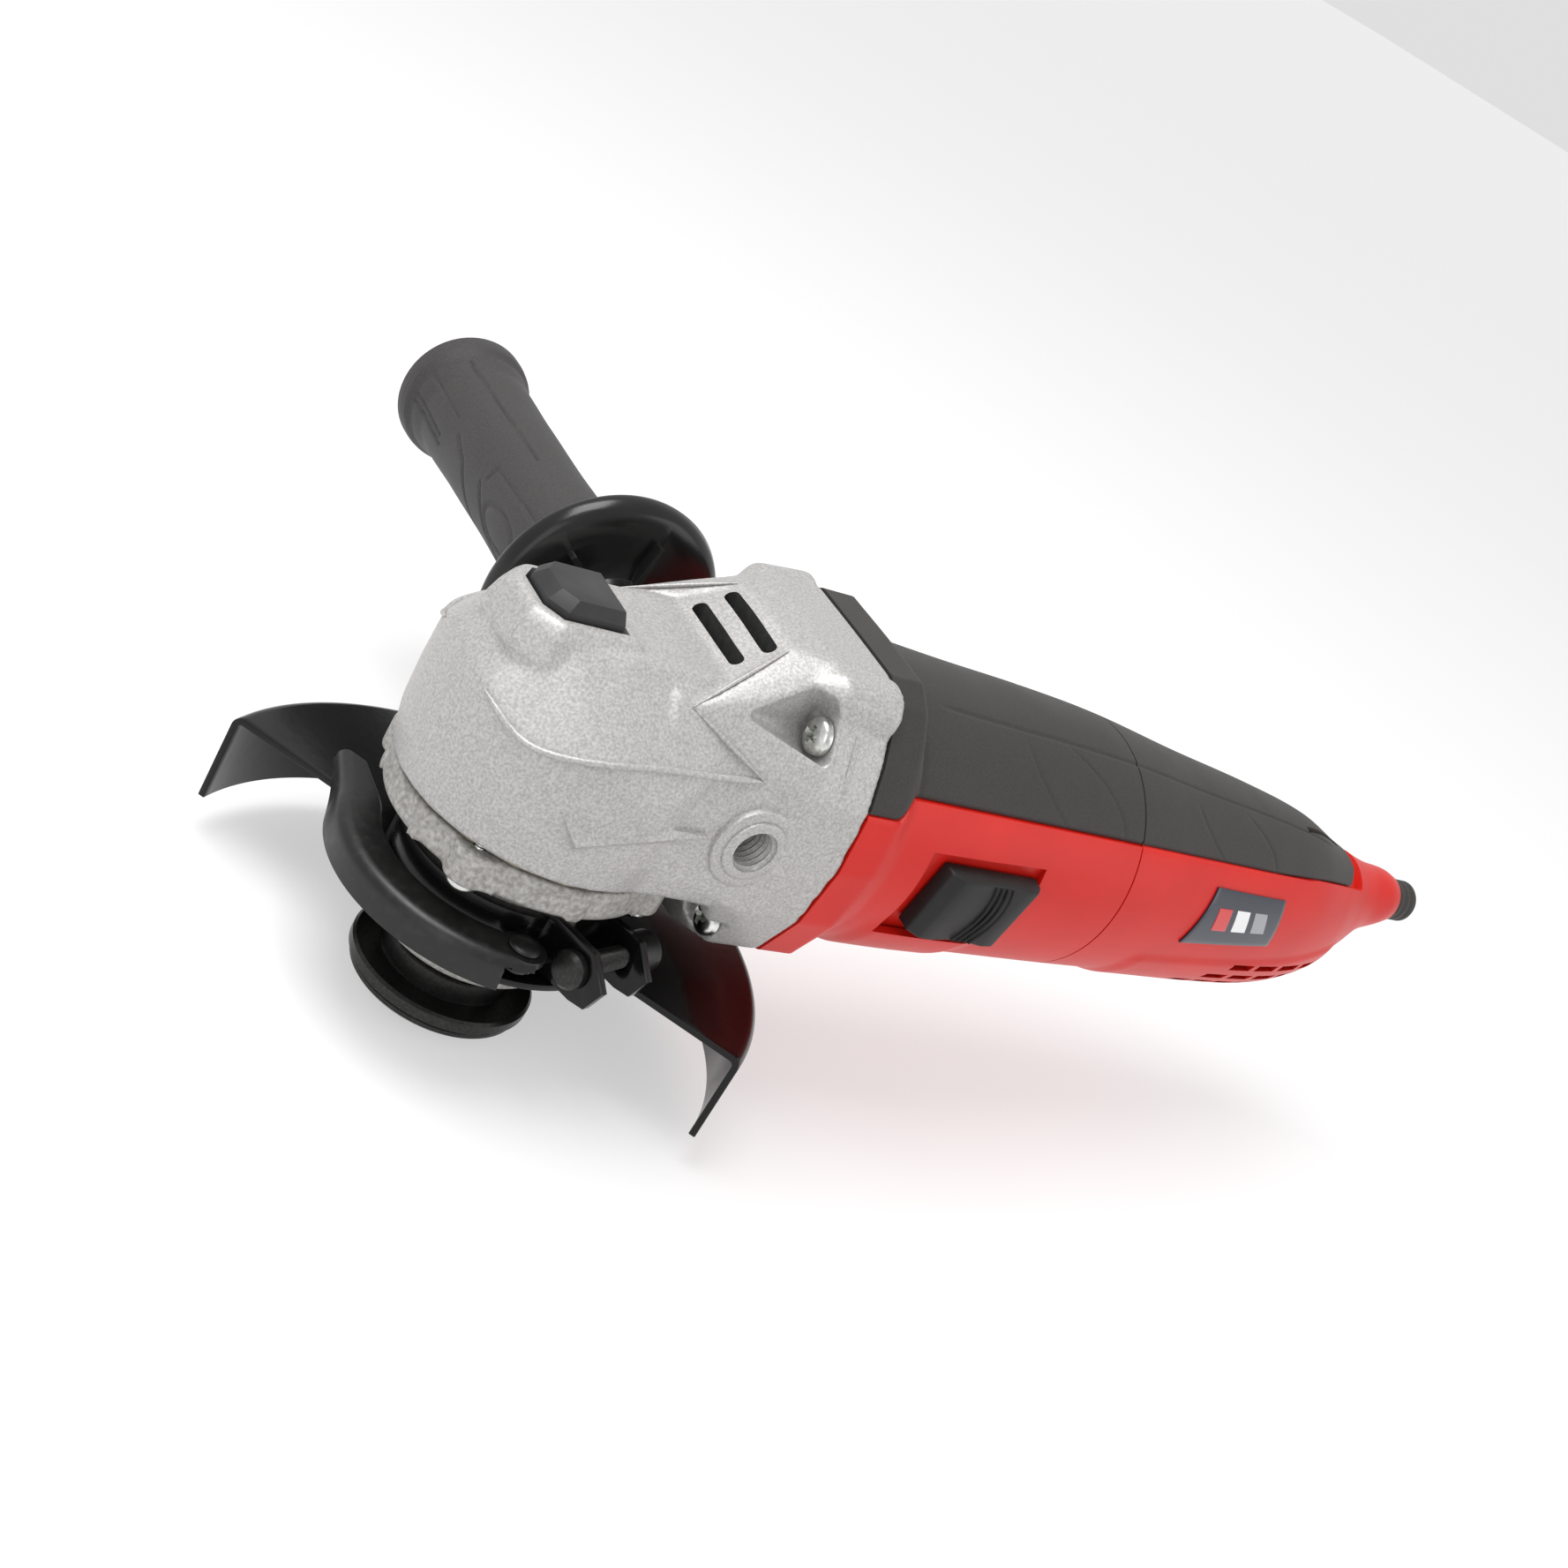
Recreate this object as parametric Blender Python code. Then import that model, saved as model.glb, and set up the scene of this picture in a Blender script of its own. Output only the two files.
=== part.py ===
"""Angle grinder for 115 mm discs, with side handle and quick-release disc guard.

Frame: the origin is the centre of the spindle's end face. +X runs along the motor axis from the cord
to the head, +Z up the spindle, +Y to the tool's left. Sizes are in millimetres and become metres when
a mesh is made; most are measured from the centre, where the motor axis meets the spindle axis.
"""

from math import asin, atan2, cos, degrees, pi, radians, sin, sqrt

import bmesh
import bpy
from mathutils import Matrix, Vector

MM = 0.001

CENTRE_HEIGHT = 72.0    # motor axis above the spindle's end
GAP = 0.3               # between pieces that touch
HEAD_RADIUS = 33.9      # front of the gear housing
HEAD_BOTTOM = -16.7
RING_X = -52.0          # joint between the gear housing and the motor housing
SEAM_X = -139.6         # joint between the motor housing and the rear housing
TAIL_X = -270.0
WALL = 2.5
SKIN = 1.6              # soft overmould
FIXING = (23.7, 24.1)   # y and z of the four housing screws
FIXINGS = [(side * FIXING[0], level * FIXING[1]) for side in (1, -1) for level in (1, -1)]
CAP_FIXINGS = [(end * 20.4, side * 20.4) for end in (1, -1) for side in (1, -1)]
COLLAR_RADIUS = 21.0    # the guard clamps on this
GUARD_RADIUS = 66.0
GUARD_TOP = -42.15
GUARD_DEPTH = 22.1
GUARD_STEEL = 1.6
GUARD_FROM, GUARD_TO = 132.7, 311.7    # the half turn that the guard covers, in degrees
CLAMP_ANGLE = 113.0     # where the clamp band is split
BAND_LOW, BAND_HIGH = GUARD_TOP + 0.4, -31.0
EAR_OFFSET = 6.5        # from the split's middle to each ear
CLAMP_SCREW = (32.5, -35.0)            # distance out and height of the clamp screw
RIVET_ALONG, RIVET_OUT = 17.0, 25.1    # the lever's pivot, from the split's middle
LEVER_TOP, LEVER_LOW = -34.0, -41.6
LEVER_STEEL = 1.7
LEVER_CLEARANCE = 7.2   # round the rivet, so that the folded edge passes the tab
HANDLE_X, HANDLE_Z = -29.7, 0.5
HANDLE_HOLE = 4.35      # radius before the M10 thread
BOSS_FACE = 34.2
BUTTON_X = 14.6         # lock button
LOCK_PIN_X = 10.8
LOCK_HOLES = 6          # in the gear, for the lock pin
BOOT_RADIUS = 5.74
PINION_TEETH, GEAR_TEETH = 10, 30
GEAR_RADIUS = 20.0
PINION_RADIUS = GEAR_RADIUS * PINION_TEETH / GEAR_TEETH
STATOR_RADIUS = 26.3
SWITCH_TILT = -9.0
SWITCH_FLOOR = 28.9


# ---------------------------------------------------------------- scene and materials

for leftover in list(bpy.data.objects):
    bpy.data.objects.remove(leftover)


def material(name, colour, roughness, metallic=0.0):
    look = bpy.data.materials.new(name)
    look.diffuse_color = (*colour, 1.0)
    look.use_nodes = True
    shader = look.node_tree.nodes["Principled BSDF"]
    shader.inputs["Base Color"].default_value = (*colour, 1.0)
    shader.inputs["Roughness"].default_value = roughness
    shader.inputs["Metallic"].default_value = metallic
    return look


CAST = material("cast_aluminium", (0.60, 0.60, 0.60), 0.45, 0.8)
RED = material("red_plastic", (0.75, 0.02, 0.01), 0.4)
SOFT = material("soft_black", (0.045, 0.043, 0.042), 0.65)
BLACK = material("black_plastic", (0.02, 0.02, 0.02), 0.45)
PAINT = material("black_paint", (0.012, 0.012, 0.012), 0.2, 0.3)
DARK_STEEL = material("dark_steel", (0.10, 0.10, 0.10), 0.4, 0.9)
ZINC = material("zinc_plate", (0.65, 0.66, 0.64), 0.3, 1.0)
STEEL = material("steel", (0.50, 0.50, 0.51), 0.3, 1.0)
LAMINATE = material("laminated_steel", (0.25, 0.25, 0.26), 0.5, 0.9)
COPPER = material("copper_wire", (0.50, 0.16, 0.06), 0.35, 0.9)
BRASS = material("brass", (0.60, 0.42, 0.15), 0.35, 1.0)
CARBON = material("carbon", (0.03, 0.03, 0.03), 0.7)
PAPER = material("gasket_paper", (0.25, 0.22, 0.15), 0.9)
NAVY = material("navy_plate", (0.01, 0.015, 0.035), 0.35)


def axis_frame(name, location_mm, turn=(0, 0, 0)):
    """An empty that pieces hang from, with its own Z along their axis."""
    empty = bpy.data.objects.new(name, None)
    bpy.context.scene.collection.objects.link(empty)
    empty.location = [MM * value for value in location_mm]
    empty.rotation_euler = [radians(angle) for angle in turn]
    return empty


CENTRE = axis_frame("centre", (0, 0, CENTRE_HEIGHT))


# ---------------------------------------------------------------- shapes, in millimetres

def solid(points, faces):
    mesh = bmesh.new()
    verts = [mesh.verts.new(point) for point in points]
    for face in faces:
        mesh.faces.new([verts[index] for index in face])
    bmesh.ops.recalc_face_normals(mesh, faces=mesh.faces)
    bmesh.ops.triangulate(mesh, faces=[face for face in mesh.faces if not is_flat(face)])
    return mesh


def is_flat(face):
    return all(abs((vert.co - face.verts[0].co).dot(face.normal)) < 1e-4 for vert in face.verts)


def loft(rings, loop=False):
    """Rings of equally many points, joined in order. A loop of rings has no caps."""
    count = len(rings[0])
    points = [point for ring in rings for point in ring]
    faces = []
    for ring in range(len(rings) if loop else len(rings) - 1):
        first, second = ring * count, (ring + 1) % len(rings) * count
        for index in range(count):
            after = (index + 1) % count
            faces.append((first + index, first + after, second + after, second + index))
    if not loop:
        faces.append(tuple(range(count)))
        faces.append(tuple(range(len(points) - count, len(points))))
    return solid(points, faces)


def turned(profile, steps=18, start=0.0, end=360.0):
    """A profile of (radius, height) turned about Z. It is a loop, or starts and ends on the axis."""
    whole = end - start >= 360.0
    if whole and profile[0][0] == 0:
        inner = profile[1:-1]
        points = [(0, 0, profile[0][1]), (0, 0, profile[-1][1])]
        for step in range(steps):
            turn = 2 * pi * step / steps
            points += [(radius * cos(turn), radius * sin(turn), height) for radius, height in inner]
        faces = []
        for step in range(steps):
            first, second = 2 + step * len(inner), 2 + (step + 1) % steps * len(inner)
            faces.append((0, first, second))
            faces.append((1, second + len(inner) - 1, first + len(inner) - 1))
            for index in range(len(inner) - 1):
                faces.append((first + index, first + index + 1, second + index + 1, second + index))
        return solid(points, faces)
    rings = []
    for step in range(steps if whole else steps + 1):
        turn = radians(start + (end - start) * step / steps)
        rings.append([(radius * cos(turn), radius * sin(turn), height) for radius, height in profile])
    return loft(rings, loop=whole)


def along_x(mesh):
    """Turns a piece made about Z so that its axis lies along +X."""
    bmesh.ops.rotate(mesh, verts=mesh.verts, matrix=Matrix.Rotation(pi / 2, 3, "Y"))
    return mesh


def along_y(mesh):
    bmesh.ops.rotate(mesh, verts=mesh.verts, matrix=Matrix.Rotation(-pi / 2, 3, "X"))
    return mesh


def about_x(mesh, angle):
    bmesh.ops.rotate(mesh, verts=mesh.verts, matrix=Matrix.Rotation(radians(angle), 3, "X"))
    return mesh


def about_z(mesh, angle):
    bmesh.ops.rotate(mesh, verts=mesh.verts, matrix=Matrix.Rotation(radians(angle), 3, "Z"))
    return mesh


def moved(mesh, *offset):
    bmesh.ops.translate(mesh, verts=mesh.verts, vec=offset)
    return mesh


def disc(radius, low, high, steps=18):
    return turned([(0, low), (radius, low), (radius, high), (0, high)], steps)


def tube(bore, radius, low, high, steps=18):
    return turned([(bore, low), (radius, low), (radius, high), (bore, high)], steps)


def block(low, high):
    xs, ys, zs = zip(low, high)
    points = [(x, y, z) for x in xs for y in ys for z in zs]
    return solid(points, [(0, 1, 3, 2), (4, 6, 7, 5), (0, 4, 5, 1), (2, 3, 7, 6), (0, 2, 6, 4), (1, 5, 7, 3)])


def plate(outline, low, high):
    """An outline of (x, y) points, extruded along Z."""
    return loft([[(x, y, height) for x, y in outline] for height in (low, high)])


def place(name, mesh, look, under=CENTRE, smooth=40):
    """Makes an object of a mesh in millimetres."""
    bmesh.ops.scale(mesh, verts=mesh.verts, vec=(MM, MM, MM))
    data = bpy.data.meshes.new(name)
    mesh.to_mesh(data)
    mesh.free()
    obj = bpy.data.objects.new(name, data)
    bpy.context.scene.collection.objects.link(obj)
    obj.parent = under
    if look:
        data.materials.append(look)
        data.shade_smooth()
        data.set_sharp_from_angle(angle=radians(smooth))
    return obj


CROSSING_CUTS = ("gear_housing",)     # its cuts run into each other


def shape(obj, operation, *meshes):
    """Cuts helper solids from an object, or joins them to it."""
    for mesh in meshes:
        helper = place("helper", mesh, None, obj.parent)
        helper.hide_render = True
        helper.display_type = "WIRE"
        step = obj.modifiers.new(operation.lower(), "BOOLEAN")
        step.operation = operation
        step.solver = "MANIFOLD" if obj.name in CROSSING_CUTS else "EXACT"
        step.object = helper
    return obj


def cut(obj, *meshes):
    return shape(obj, "DIFFERENCE", *meshes)


def join(obj, *meshes):
    return shape(obj, "UNION", *meshes)


# ---------------------------------------------------------------- gear housing and its cap

# Half sections of the casting from top to bottom, as (y, z); the other half mirrors them.
SADDLE = [(0, 26.5), (14, 26.5), (20, 24), (24.5, 19.5), (29.5, 12.5), (31.5, 4), (32, -3), (31.6, -10),
          (31, -16.2), (10, -16.2), (0, -16.2)]
SHOULDER = [(0, 35.6), (15, 35.4), (20.5, 31.5), (25, 25), (29.5, 15.5), (32, 7), (32.4, -3), (32, -11),
            (31, -16.4), (10, -16.4), (0, -16.4)]
WAIST = [(0, 36.8), (15.6, 36.6), (21.3, 33), (25.4, 27.4), (29.5, 19), (32.6, 10.4), (33.4, -2), (33, -13),
         (31.5, -16.6), (10, -16.6), (0, -16.6)]
RING = [(0, 38), (16.6, 37.9), (22.4, 34.4), (26, 29.8), (29.6, 23.4), (33.4, 13.7), (34.8, -0.5),
        (32.7, -15.8), (26.5, -29), (11, -34.2), (0, -34.5)]


def mirrored(half):
    return half + [(-y, z) for y, z in reversed(half[1:-1])]


def ring_at(x, half):
    return [(x, y, z) for y, z in mirrored(half)]


def gear_housing():
    drum = turned([(0, HEAD_BOTTOM), (32.2, HEAD_BOTTOM), (33.6, -9), (HEAD_RADIUS, 2),
                   (33, 10), (30.5, 16), (24.5, 25.5), (22, 26.8), (0, 26.8)], 24)
    head = place("gear_housing", drum, CAST)
    neck = loft([ring_at(-4, SADDLE), ring_at(-24, SHOULDER), ring_at(-31.5, WAIST), ring_at(-38, RING),
                 ring_at(RING_X, RING)])
    join(head, neck)
    for side in (1, -1):
        boss = along_y(disc(9, 24, BOSS_FACE, 24) if side > 0 else disc(9, -BOSS_FACE, -24, 24))
        join(head, moved(boss, HANDLE_X, 0, HANDLE_Z))
    gear_room = disc(26, HEAD_BOTTOM - 3, 11, 24)
    pinion_passage = along_x(disc(8.4, -26, 2, 20))
    bearing_seat = along_x(disc(13 + GAP, -42, -23.7, 24))
    fan_bell = along_x(disc(30, RING_X - 1, -40, 24))
    duct = block((-46, -12.9, 15.7), (-14.7, 12.9, 26.2))
    slots = [block((x, -12.5, 20), (x + 3.4, 12.5, 45)) for x in (-20, -33)]
    cut(head, gear_room, pinion_passage, bearing_seat, fan_bell, duct, *slots)
    top_bush = disc(6.2 + GAP, 5, 18.9, 18)
    button_well = moved(block((-9.3, -9.3, 19.4), (9.3, 9.3, 30)), BUTTON_X, 0, 0)
    spring_hole = moved(disc(2.6, 11.8, 25, 12), LOCK_PIN_X, 0, 0)
    pin_hole = moved(disc(2.0, 5, 12.5, 12), LOCK_PIN_X, 0, 0)
    cut(head, top_bush, button_well, spring_hole, pin_hole)
    for side in (1, -1):
        socket = along_y(disc(HANDLE_HOLE, 19.5, 36, 24) if side > 0 else disc(HANDLE_HOLE, -36, -19.5, 24))
        cut(head, moved(socket, HANDLE_X, 0, HANDLE_Z))
    for y, z in FIXINGS:
        reach = -12 if z > 0 else -27.2
        cut(head, moved(along_x(disc(5.2, -38, reach, 16)), 0, y, z))
        cut(head, moved(along_x(disc(2.3, -54, -36, 12)), 0, y, z))
        if z < 0:
            low, high = sorted((y * 0.86, y * 1.7))
            cut(head, block((-38, low, -40), (-27.2, high, -21.3)))
    for x, y in CAP_FIXINGS:
        cut(head, moved(disc(2.0, -20, -5, 10), x, y, 0))
    return head


def bearing_cap():
    """Plate under the head with the spindle bearing's seat, and the collar that the guard clamps on."""
    profile = [(16.2, -13.5), (25.6, -13.5), (25.6, -17.6), (30.6, -17.6), (31, -18.2), (31, -24.6),
               (30, -25.5), (COLLAR_RADIUS, -25.5), (COLLAR_RADIUS, -52), (19.6, -53.4), (9.8, -53.4),
               (9.8, -28.5), (16.2, -28.5)]
    cap = place("bearing_cap", turned(profile, 28), CAST)
    gasket = place("cap_gasket", tube(26.2, 30.8, -17.3, -17.0), PAPER)
    for x, y in CAP_FIXINGS:
        join(cap, moved(disc(4.8, -25.1, -18, 14), x, y, 0))
        cut(cap, moved(disc(2.0, -40, -10, 10), x, y, 0))
        cut(gasket, moved(disc(2.1, -20, -10, 10), x, y, 0))
    return cap, gasket


def pan_screw(name, length, radius, head_radius, head_height):
    """A screw with its head up, its seat at z = 0 and its thread going down."""
    profile = [(0, head_height), (head_radius * 0.6, head_height), (head_radius, head_height * 0.4),
               (head_radius, 0), (radius, 0), (radius, -length), (0, -length)]
    return place(name, turned(profile, 12), ZINC)


def stand(obj, location_mm, turn=(0, 0, 0), under=CENTRE):
    """Places an object and the helpers that shape it."""
    frame = axis_frame(obj.name + "_place", location_mm, turn)
    frame.parent = under
    for step in obj.modifiers:
        if step.type == "BOOLEAN":
            step.object.parent = frame
    obj.parent = frame
    return obj


def fasteners():
    names = ["housing_screw_left_upper", "housing_screw_left_lower",
             "housing_screw_right_upper", "housing_screw_right_lower"]
    for name, (y, z) in zip(names, FIXINGS):
        stand(pan_screw(name, 24, 1.9, 4.2, 2.8), (-37.7, y, z), (0, 90, 0))
    names = ["cap_screw_front_left", "cap_screw_front_right", "cap_screw_rear_left", "cap_screw_rear_right"]
    for name, (x, y) in zip(names, CAP_FIXINGS):
        stand(pan_screw(name, 18, 1.7, 3.6, 2.6), (x, y, -25.8), (180, 0, 0))


# ---------------------------------------------------------------- motor and rear housings

def ellipse(half_width, top, bottom):
    """Reach of a section whose top and bottom lie at different distances from the motor axis."""
    middle, half_height = (top - bottom) / 2, (top + bottom) / 2

    def reach(turn, less=0.0):
        wide, high = half_width - less, half_height - less
        c, s = cos(turn) / wide, sin(turn) / high
        m = middle / high
        a, b = c * c + s * s, s * m
        return (b + sqrt(b * b - a * (m * m - 1))) / a
    return reach


def outlined(half):
    """Reach of a straight-sided section."""
    corners = mirrored(half)

    def reach(turn, less=0.0):
        way = Vector((cos(turn), sin(turn)))
        found = 0.0
        for (y1, z1), (y2, z2) in zip(corners, corners[1:] + corners[:1]):
            along = Vector((y2 - y1, z2 - z1))
            across = way.x * along.y - way.y * along.x
            if abs(across) < 1e-9:
                continue
            distance = (y1 * along.y - z1 * along.x) / across
            place_on = (y1 * way.y - z1 * way.x) / across
            if distance > 0 and -1e-6 <= place_on <= 1 + 1e-6:
                found = max(found, distance)
        return found - less
    return reach


FRONT_STATIONS = [(RING_X - GAP, outlined(RING)), (-64.5, outlined(RING)), (-67.5, ellipse(33, 33.6, 34)),
                  (-90, ellipse(33, 32.9, 34.2)), (-115, ellipse(32, 31.8, 33.6)),
                  (SEAM_X, ellipse(31, 29.9, 33))]
REAR_STATIONS = [(SEAM_X - GAP, ellipse(31, 29.9, 33)), (-170, ellipse(28.3, 25.8, 32.4)),
                 (-200, ellipse(25.2, 22.2, 32)), (-222, ellipse(21.6, 18.6, 31)),
                 (-238, ellipse(17.2, 13.4, 27)), (-249, ellipse(12.6, 10.4, 20.5)),
                 (-257, ellipse(9.6, 8.8, 12.5)), (-266, ellipse(8.2, 8, 8.2)),
                 (TAIL_X, ellipse(6.9, 6.9, 6.9))]
SKIN_LINE = 28.0        # the overmould covers the section above this angle
SKIN_ENDS = -246.0
SKIN_STEPS, BARE_STEPS = 12, 18


def skin_turns(count, spare=0.0):
    low, high = SKIN_LINE + spare, 180 - SKIN_LINE - spare
    return [radians(low + (high - low) * step / count) for step in range(count + 1)]


def bare_turns(count):
    low, high = 180.4 - SKIN_LINE, 359.6 + SKIN_LINE
    return [radians(low + (high - low) * step / count) for step in range(count + 1)]


def housing_ring(x, reach, skinned):
    """A section of the hard housing: lowered under the skin by the skin's thickness."""
    sunk = SKIN + GAP if skinned else 0.0
    ring = [(turn, reach(turn) - sunk) for turn in skin_turns(SKIN_STEPS)]
    ring += [(turn, reach(turn)) for turn in bare_turns(BARE_STEPS)]
    return [(x, radius * cos(turn), radius * sin(turn)) for turn, radius in ring]


def round_ring(x, radius):
    turns = skin_turns(SKIN_STEPS) + bare_turns(BARE_STEPS)
    return [(x, radius * cos(turn), radius * sin(turn)) for turn in turns]


def inner_ring(x, reach):
    ring = [(turn, reach(turn, WALL + SKIN if x > SKIN_ENDS else WALL)) for turn in skin_turns(SKIN_STEPS)]
    ring += [(turn, reach(turn, WALL)) for turn in bare_turns(BARE_STEPS)]
    return [(x, radius * cos(turn), radius * sin(turn)) for turn, radius in ring]


def skin_ring(x, reach):
    outer = [(turn, reach(turn)) for turn in skin_turns(SKIN_STEPS, 0.6)]
    inner = [(turn, reach(turn) - SKIN) for turn in reversed(skin_turns(SKIN_STEPS, 0.6))]
    return [(x, radius * cos(turn), radius * sin(turn)) for turn, radius in outer + inner]


def motor_housing():
    outer = [housing_ring(x, reach, True) for x, reach in FRONT_STATIONS]
    inner = [round_ring(x, radius) for x, radius in (
        (SEAM_X, 9), (-137, 11.8), (-131, 11.8), (-130.5, 27.2), (-70, 27.2), (-68, 30), (RING_X - GAP, 30))]
    shell = place("motor_housing", loft(outer + inner, loop=True), RED)
    recess = block((-110, SWITCH_FLOOR, -12.3), (-75.5, 45, 12.3))
    rod_groove = block((-128, 26.3, -2.7), (-84.6, SWITCH_FLOOR + 0.1, 2.7))
    cut(shell, about_x(recess, SWITCH_TILT), about_x(rod_groove, SWITCH_TILT))
    for number in range(4):
        cut(shell, about_x(block((-142, 14, -7), (-127, 25.5, 7)), 90 * number + SWITCH_TILT))
    rod_window = about_x(block((-142, 20, -3.4), (-126, 29.4, 3.4)), SWITCH_TILT)
    cut(shell, rod_window)
    for y, z in FIXINGS:
        cut(shell, moved(along_x(disc(2.2, -63.2, -50, 12)), 0, y, z))
    for level in (1, -1):
        lug = block((-150, -24.6, level * 7 - 3.4), (-138, -20.6, level * 7 + 3.4))
        join(shell, lug)
        cut(shell, moved(along_y(disc(1.9, -35, -20, 12)), -145.5, 0, level * 7))
    skin = place("motor_overmould", loft([skin_ring(x, reach) for x, reach in FRONT_STATIONS]), SOFT)
    return shell, skin


def rear_housing():
    outer, skin = [], []
    for x, reach in REAR_STATIONS:
        skinned = x > SKIN_ENDS + 5
        if skinned:
            skin.append(skin_ring(x, reach))
        outer.append(housing_ring(x, reach, skinned))
    bore = BOOT_RADIUS + GAP
    inner = [round_ring(TAIL_X, bore), round_ring(-256.2, bore), round_ring(-256, 7.8)]
    inner += [inner_ring(x, reach) for x, reach in reversed(REAR_STATIONS) if x > -250]
    shell = place("rear_housing", loft(outer + inner, loop=True), RED)
    for level, front, back in ((-15.5, -197, -238), (-20.5, -190, -233), (-25.5, -183, -222)):
        wide = (front - back) / 4
        for number in range(4):
            x = front - number * wide
            for side in (1, -1):
                low, high = sorted((side * 8.0, side * 40.0))
                cut(shell, block((x - wide * 0.78, low, level - 1.3), (x, high, level + 1.3)))
    for level in (1, -1):
        hole = moved(along_y(disc(1.9, -40, -20, 12)), -145.5, 0, level * 7)
        head_seat = moved(along_y(disc(4.0, -40, -27.8, 14)), -145.5, 0, level * 7)
        cut(shell, hole, head_seat)
    skin = place("rear_overmould", loft(skin), SOFT)
    return shell, skin


def rear_screws():
    for name, level in (("rear_housing_screw_upper", 1), ("rear_housing_screw_lower", -1)):
        stand(pan_screw(name, 6.5, 1.5, 3.4, 2.0), (-145.5, -27.9, level * 7), (90, 0, 0))


def badge():
    """A plain name plate with slanting ends, on the left of the rear housing."""
    outline = [(-172.5, 8.5), (-202, 6.5), (-204, -6), (-169, -7)]
    plate_mesh = loft([[(x, y, z) for x, z in outline] for y in (24.2, 32.2)])
    obj = place("badge", plate_mesh, NAVY)
    rings = []
    for x, reach in REAR_STATIONS[:4]:
        outer = [(turn, reach(turn, -0.9)) for turn in badge_turns(-40, 24)]
        inner = [(turn, reach(turn, -0.3)) for turn in badge_turns(40, -40)]
        rings.append([(x, radius * cos(turn), radius * sin(turn)) for turn, radius in outer + inner])
    curve = loft(rings)
    return shape(obj, "INTERSECT", curve)


def badge_turns(low, high, count=16):
    return [radians(low + (high - low) * step / count) for step in range(count + 1)]


def cord_guard():
    """Rubber sleeve that the cord would leave by; it is empty, for no cord is fitted."""
    profile = [(3.75, -279.4), (5.2, -279.4), (BOOT_RADIUS, -278.6), (BOOT_RADIUS, -255.5), (7.4, -255.2),
               (7.4, -252), (3.75, -252)]
    return place("cord_guard", along_x(turned(profile, 16)), SOFT)


# ---------------------------------------------------------------- switch

def switch_parts():
    tilt = axis_frame("switch_tilt", (0, 0, 0), (SWITCH_TILT, 0, 0))
    tilt.parent = CENTRE
    cap = [(-109.4, 29.3), (-109.4, 33.4), (-107, 35.4), (-101, 34.4), (-97, 34.2), (-92, 35.6), (-85, 35.6),
           (-82, 33.6), (-81.6, 29.3)]
    slider = place("switch_slider", loft([[(x, y, z) for x, y in cap] for z in (-9.4, 9.4)]), BLACK, tilt)
    join(slider, block((-99.5, 27.3, -2.1), (-91.5, 30, 2.1)))
    route = [(-99.9, 28.3), (-140.5, 28.3), (-158, 15), (-168, 15), (-168, 13), (-157, 13), (-140, 27.1),
             (-99.9, 27.2)]
    rod = place("switch_rod", plate(route, -1.9, 1.9), BLACK, tilt)
    switch = place("switch_block", block((-205, -9, -14), (-168.6, 12, 10)), BLACK)
    return slider, rod, switch


# ---------------------------------------------------------------- motor

def shaft_and_rotor():
    shaft_profile = [(0, -138.2), (3.9, -138.2), (3.9, -131), (5, -130.6), (5, -24.4), (2.3, -24.2),
                     (2.3, -13.4), (0, -13.4)]
    shaft = place("armature_shaft", along_x(turned(shaft_profile, 20)), STEEL)
    core = turned([(5 + GAP, -103), (15.2, -103), (15.2, -66), (5 + GAP, -66)], 24)
    rotor = place("armature_core", along_x(core), LAMINATE)
    windings = []
    for name, low, high in (
        ("armature_winding_front", -65.7, -59.5),
        ("armature_winding_rear", -111, -103.3),
    ):
        ring = turned([(5 + GAP, low), (12, low), (14, (low + high) / 2), (12, high), (5 + GAP, high)], 24)
        windings.append(place(name, along_x(ring), COPPER))
    bars = [(5 + GAP, -127), (10.5, -127), (10.5, -114.5), (12, -114), (12, -111.5), (5 + GAP, -111.5)]
    commutator = place("commutator", along_x(turned(bars, 24)), COPPER)
    return shaft, rotor, windings, commutator


def cooling_fan():
    """Hub and back plate with twelve radial blades."""
    fan = place("cooling_fan", along_x(turned([
        (5 + GAP, -53.6), (8, -53.6), (9, -46.2), (27, -44.2), (27, -42.8), (5 + GAP, -42.8)], 24)), BLACK)
    for number in range(12):
        blade = block((-51.6, 13, -0.8), (-44, 26.6, 0.8))
        join(fan, about_x(blade, 30 * number))
    return fan


def stator():
    """Laminated ring with two pole shoes, left and right, and a coil round each."""
    ring = turned([(23.6, -104), (STATOR_RADIUS, -104), (STATOR_RADIUS, -66), (23.6, -66)], 24)
    core = place("stator_core", along_x(ring), LAMINATE)
    for side in (0, 180):
        shoe = block((-103.9, 15.9, -10), (-66.1, 24.2, 10))
        join(core, about_x(shoe, side))
    cut(core, along_x(disc(16.3, -106, -64, 24)))
    coils = []
    for name, turn in (("field_coil_left", 0), ("field_coil_right", 180)):
        outer = [(-110, -13.6), (-60.4, -13.6), (-60.4, 13.6), (-110, 13.6)]
        inner = [(-104.4, -10.4), (-65.6, -10.4), (-65.6, 10.4), (-104.4, 10.4)]
        low = [(x, 16.4, z) for x, z in outer], [(x, 16.4, z) for x, z in inner]
        high = [(x, 18.6, z) for x, z in outer], [(x, 18.6, z) for x, z in inner]
        coil = loft([low[0], high[0], high[1], low[1]], loop=True)
        coils.append(place(name, about_x(coil, turn), COPPER))
    return core, coils


def air_baffle():
    """Ring that turns the fan's air forward into the head."""
    return place("air_baffle", along_x(turned([
        (16, -58.6), (29.6, -58.6), (29.6, -55), (28.4, -55), (28, -57.2), (16, -57.2)], 24)), BLACK)


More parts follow.
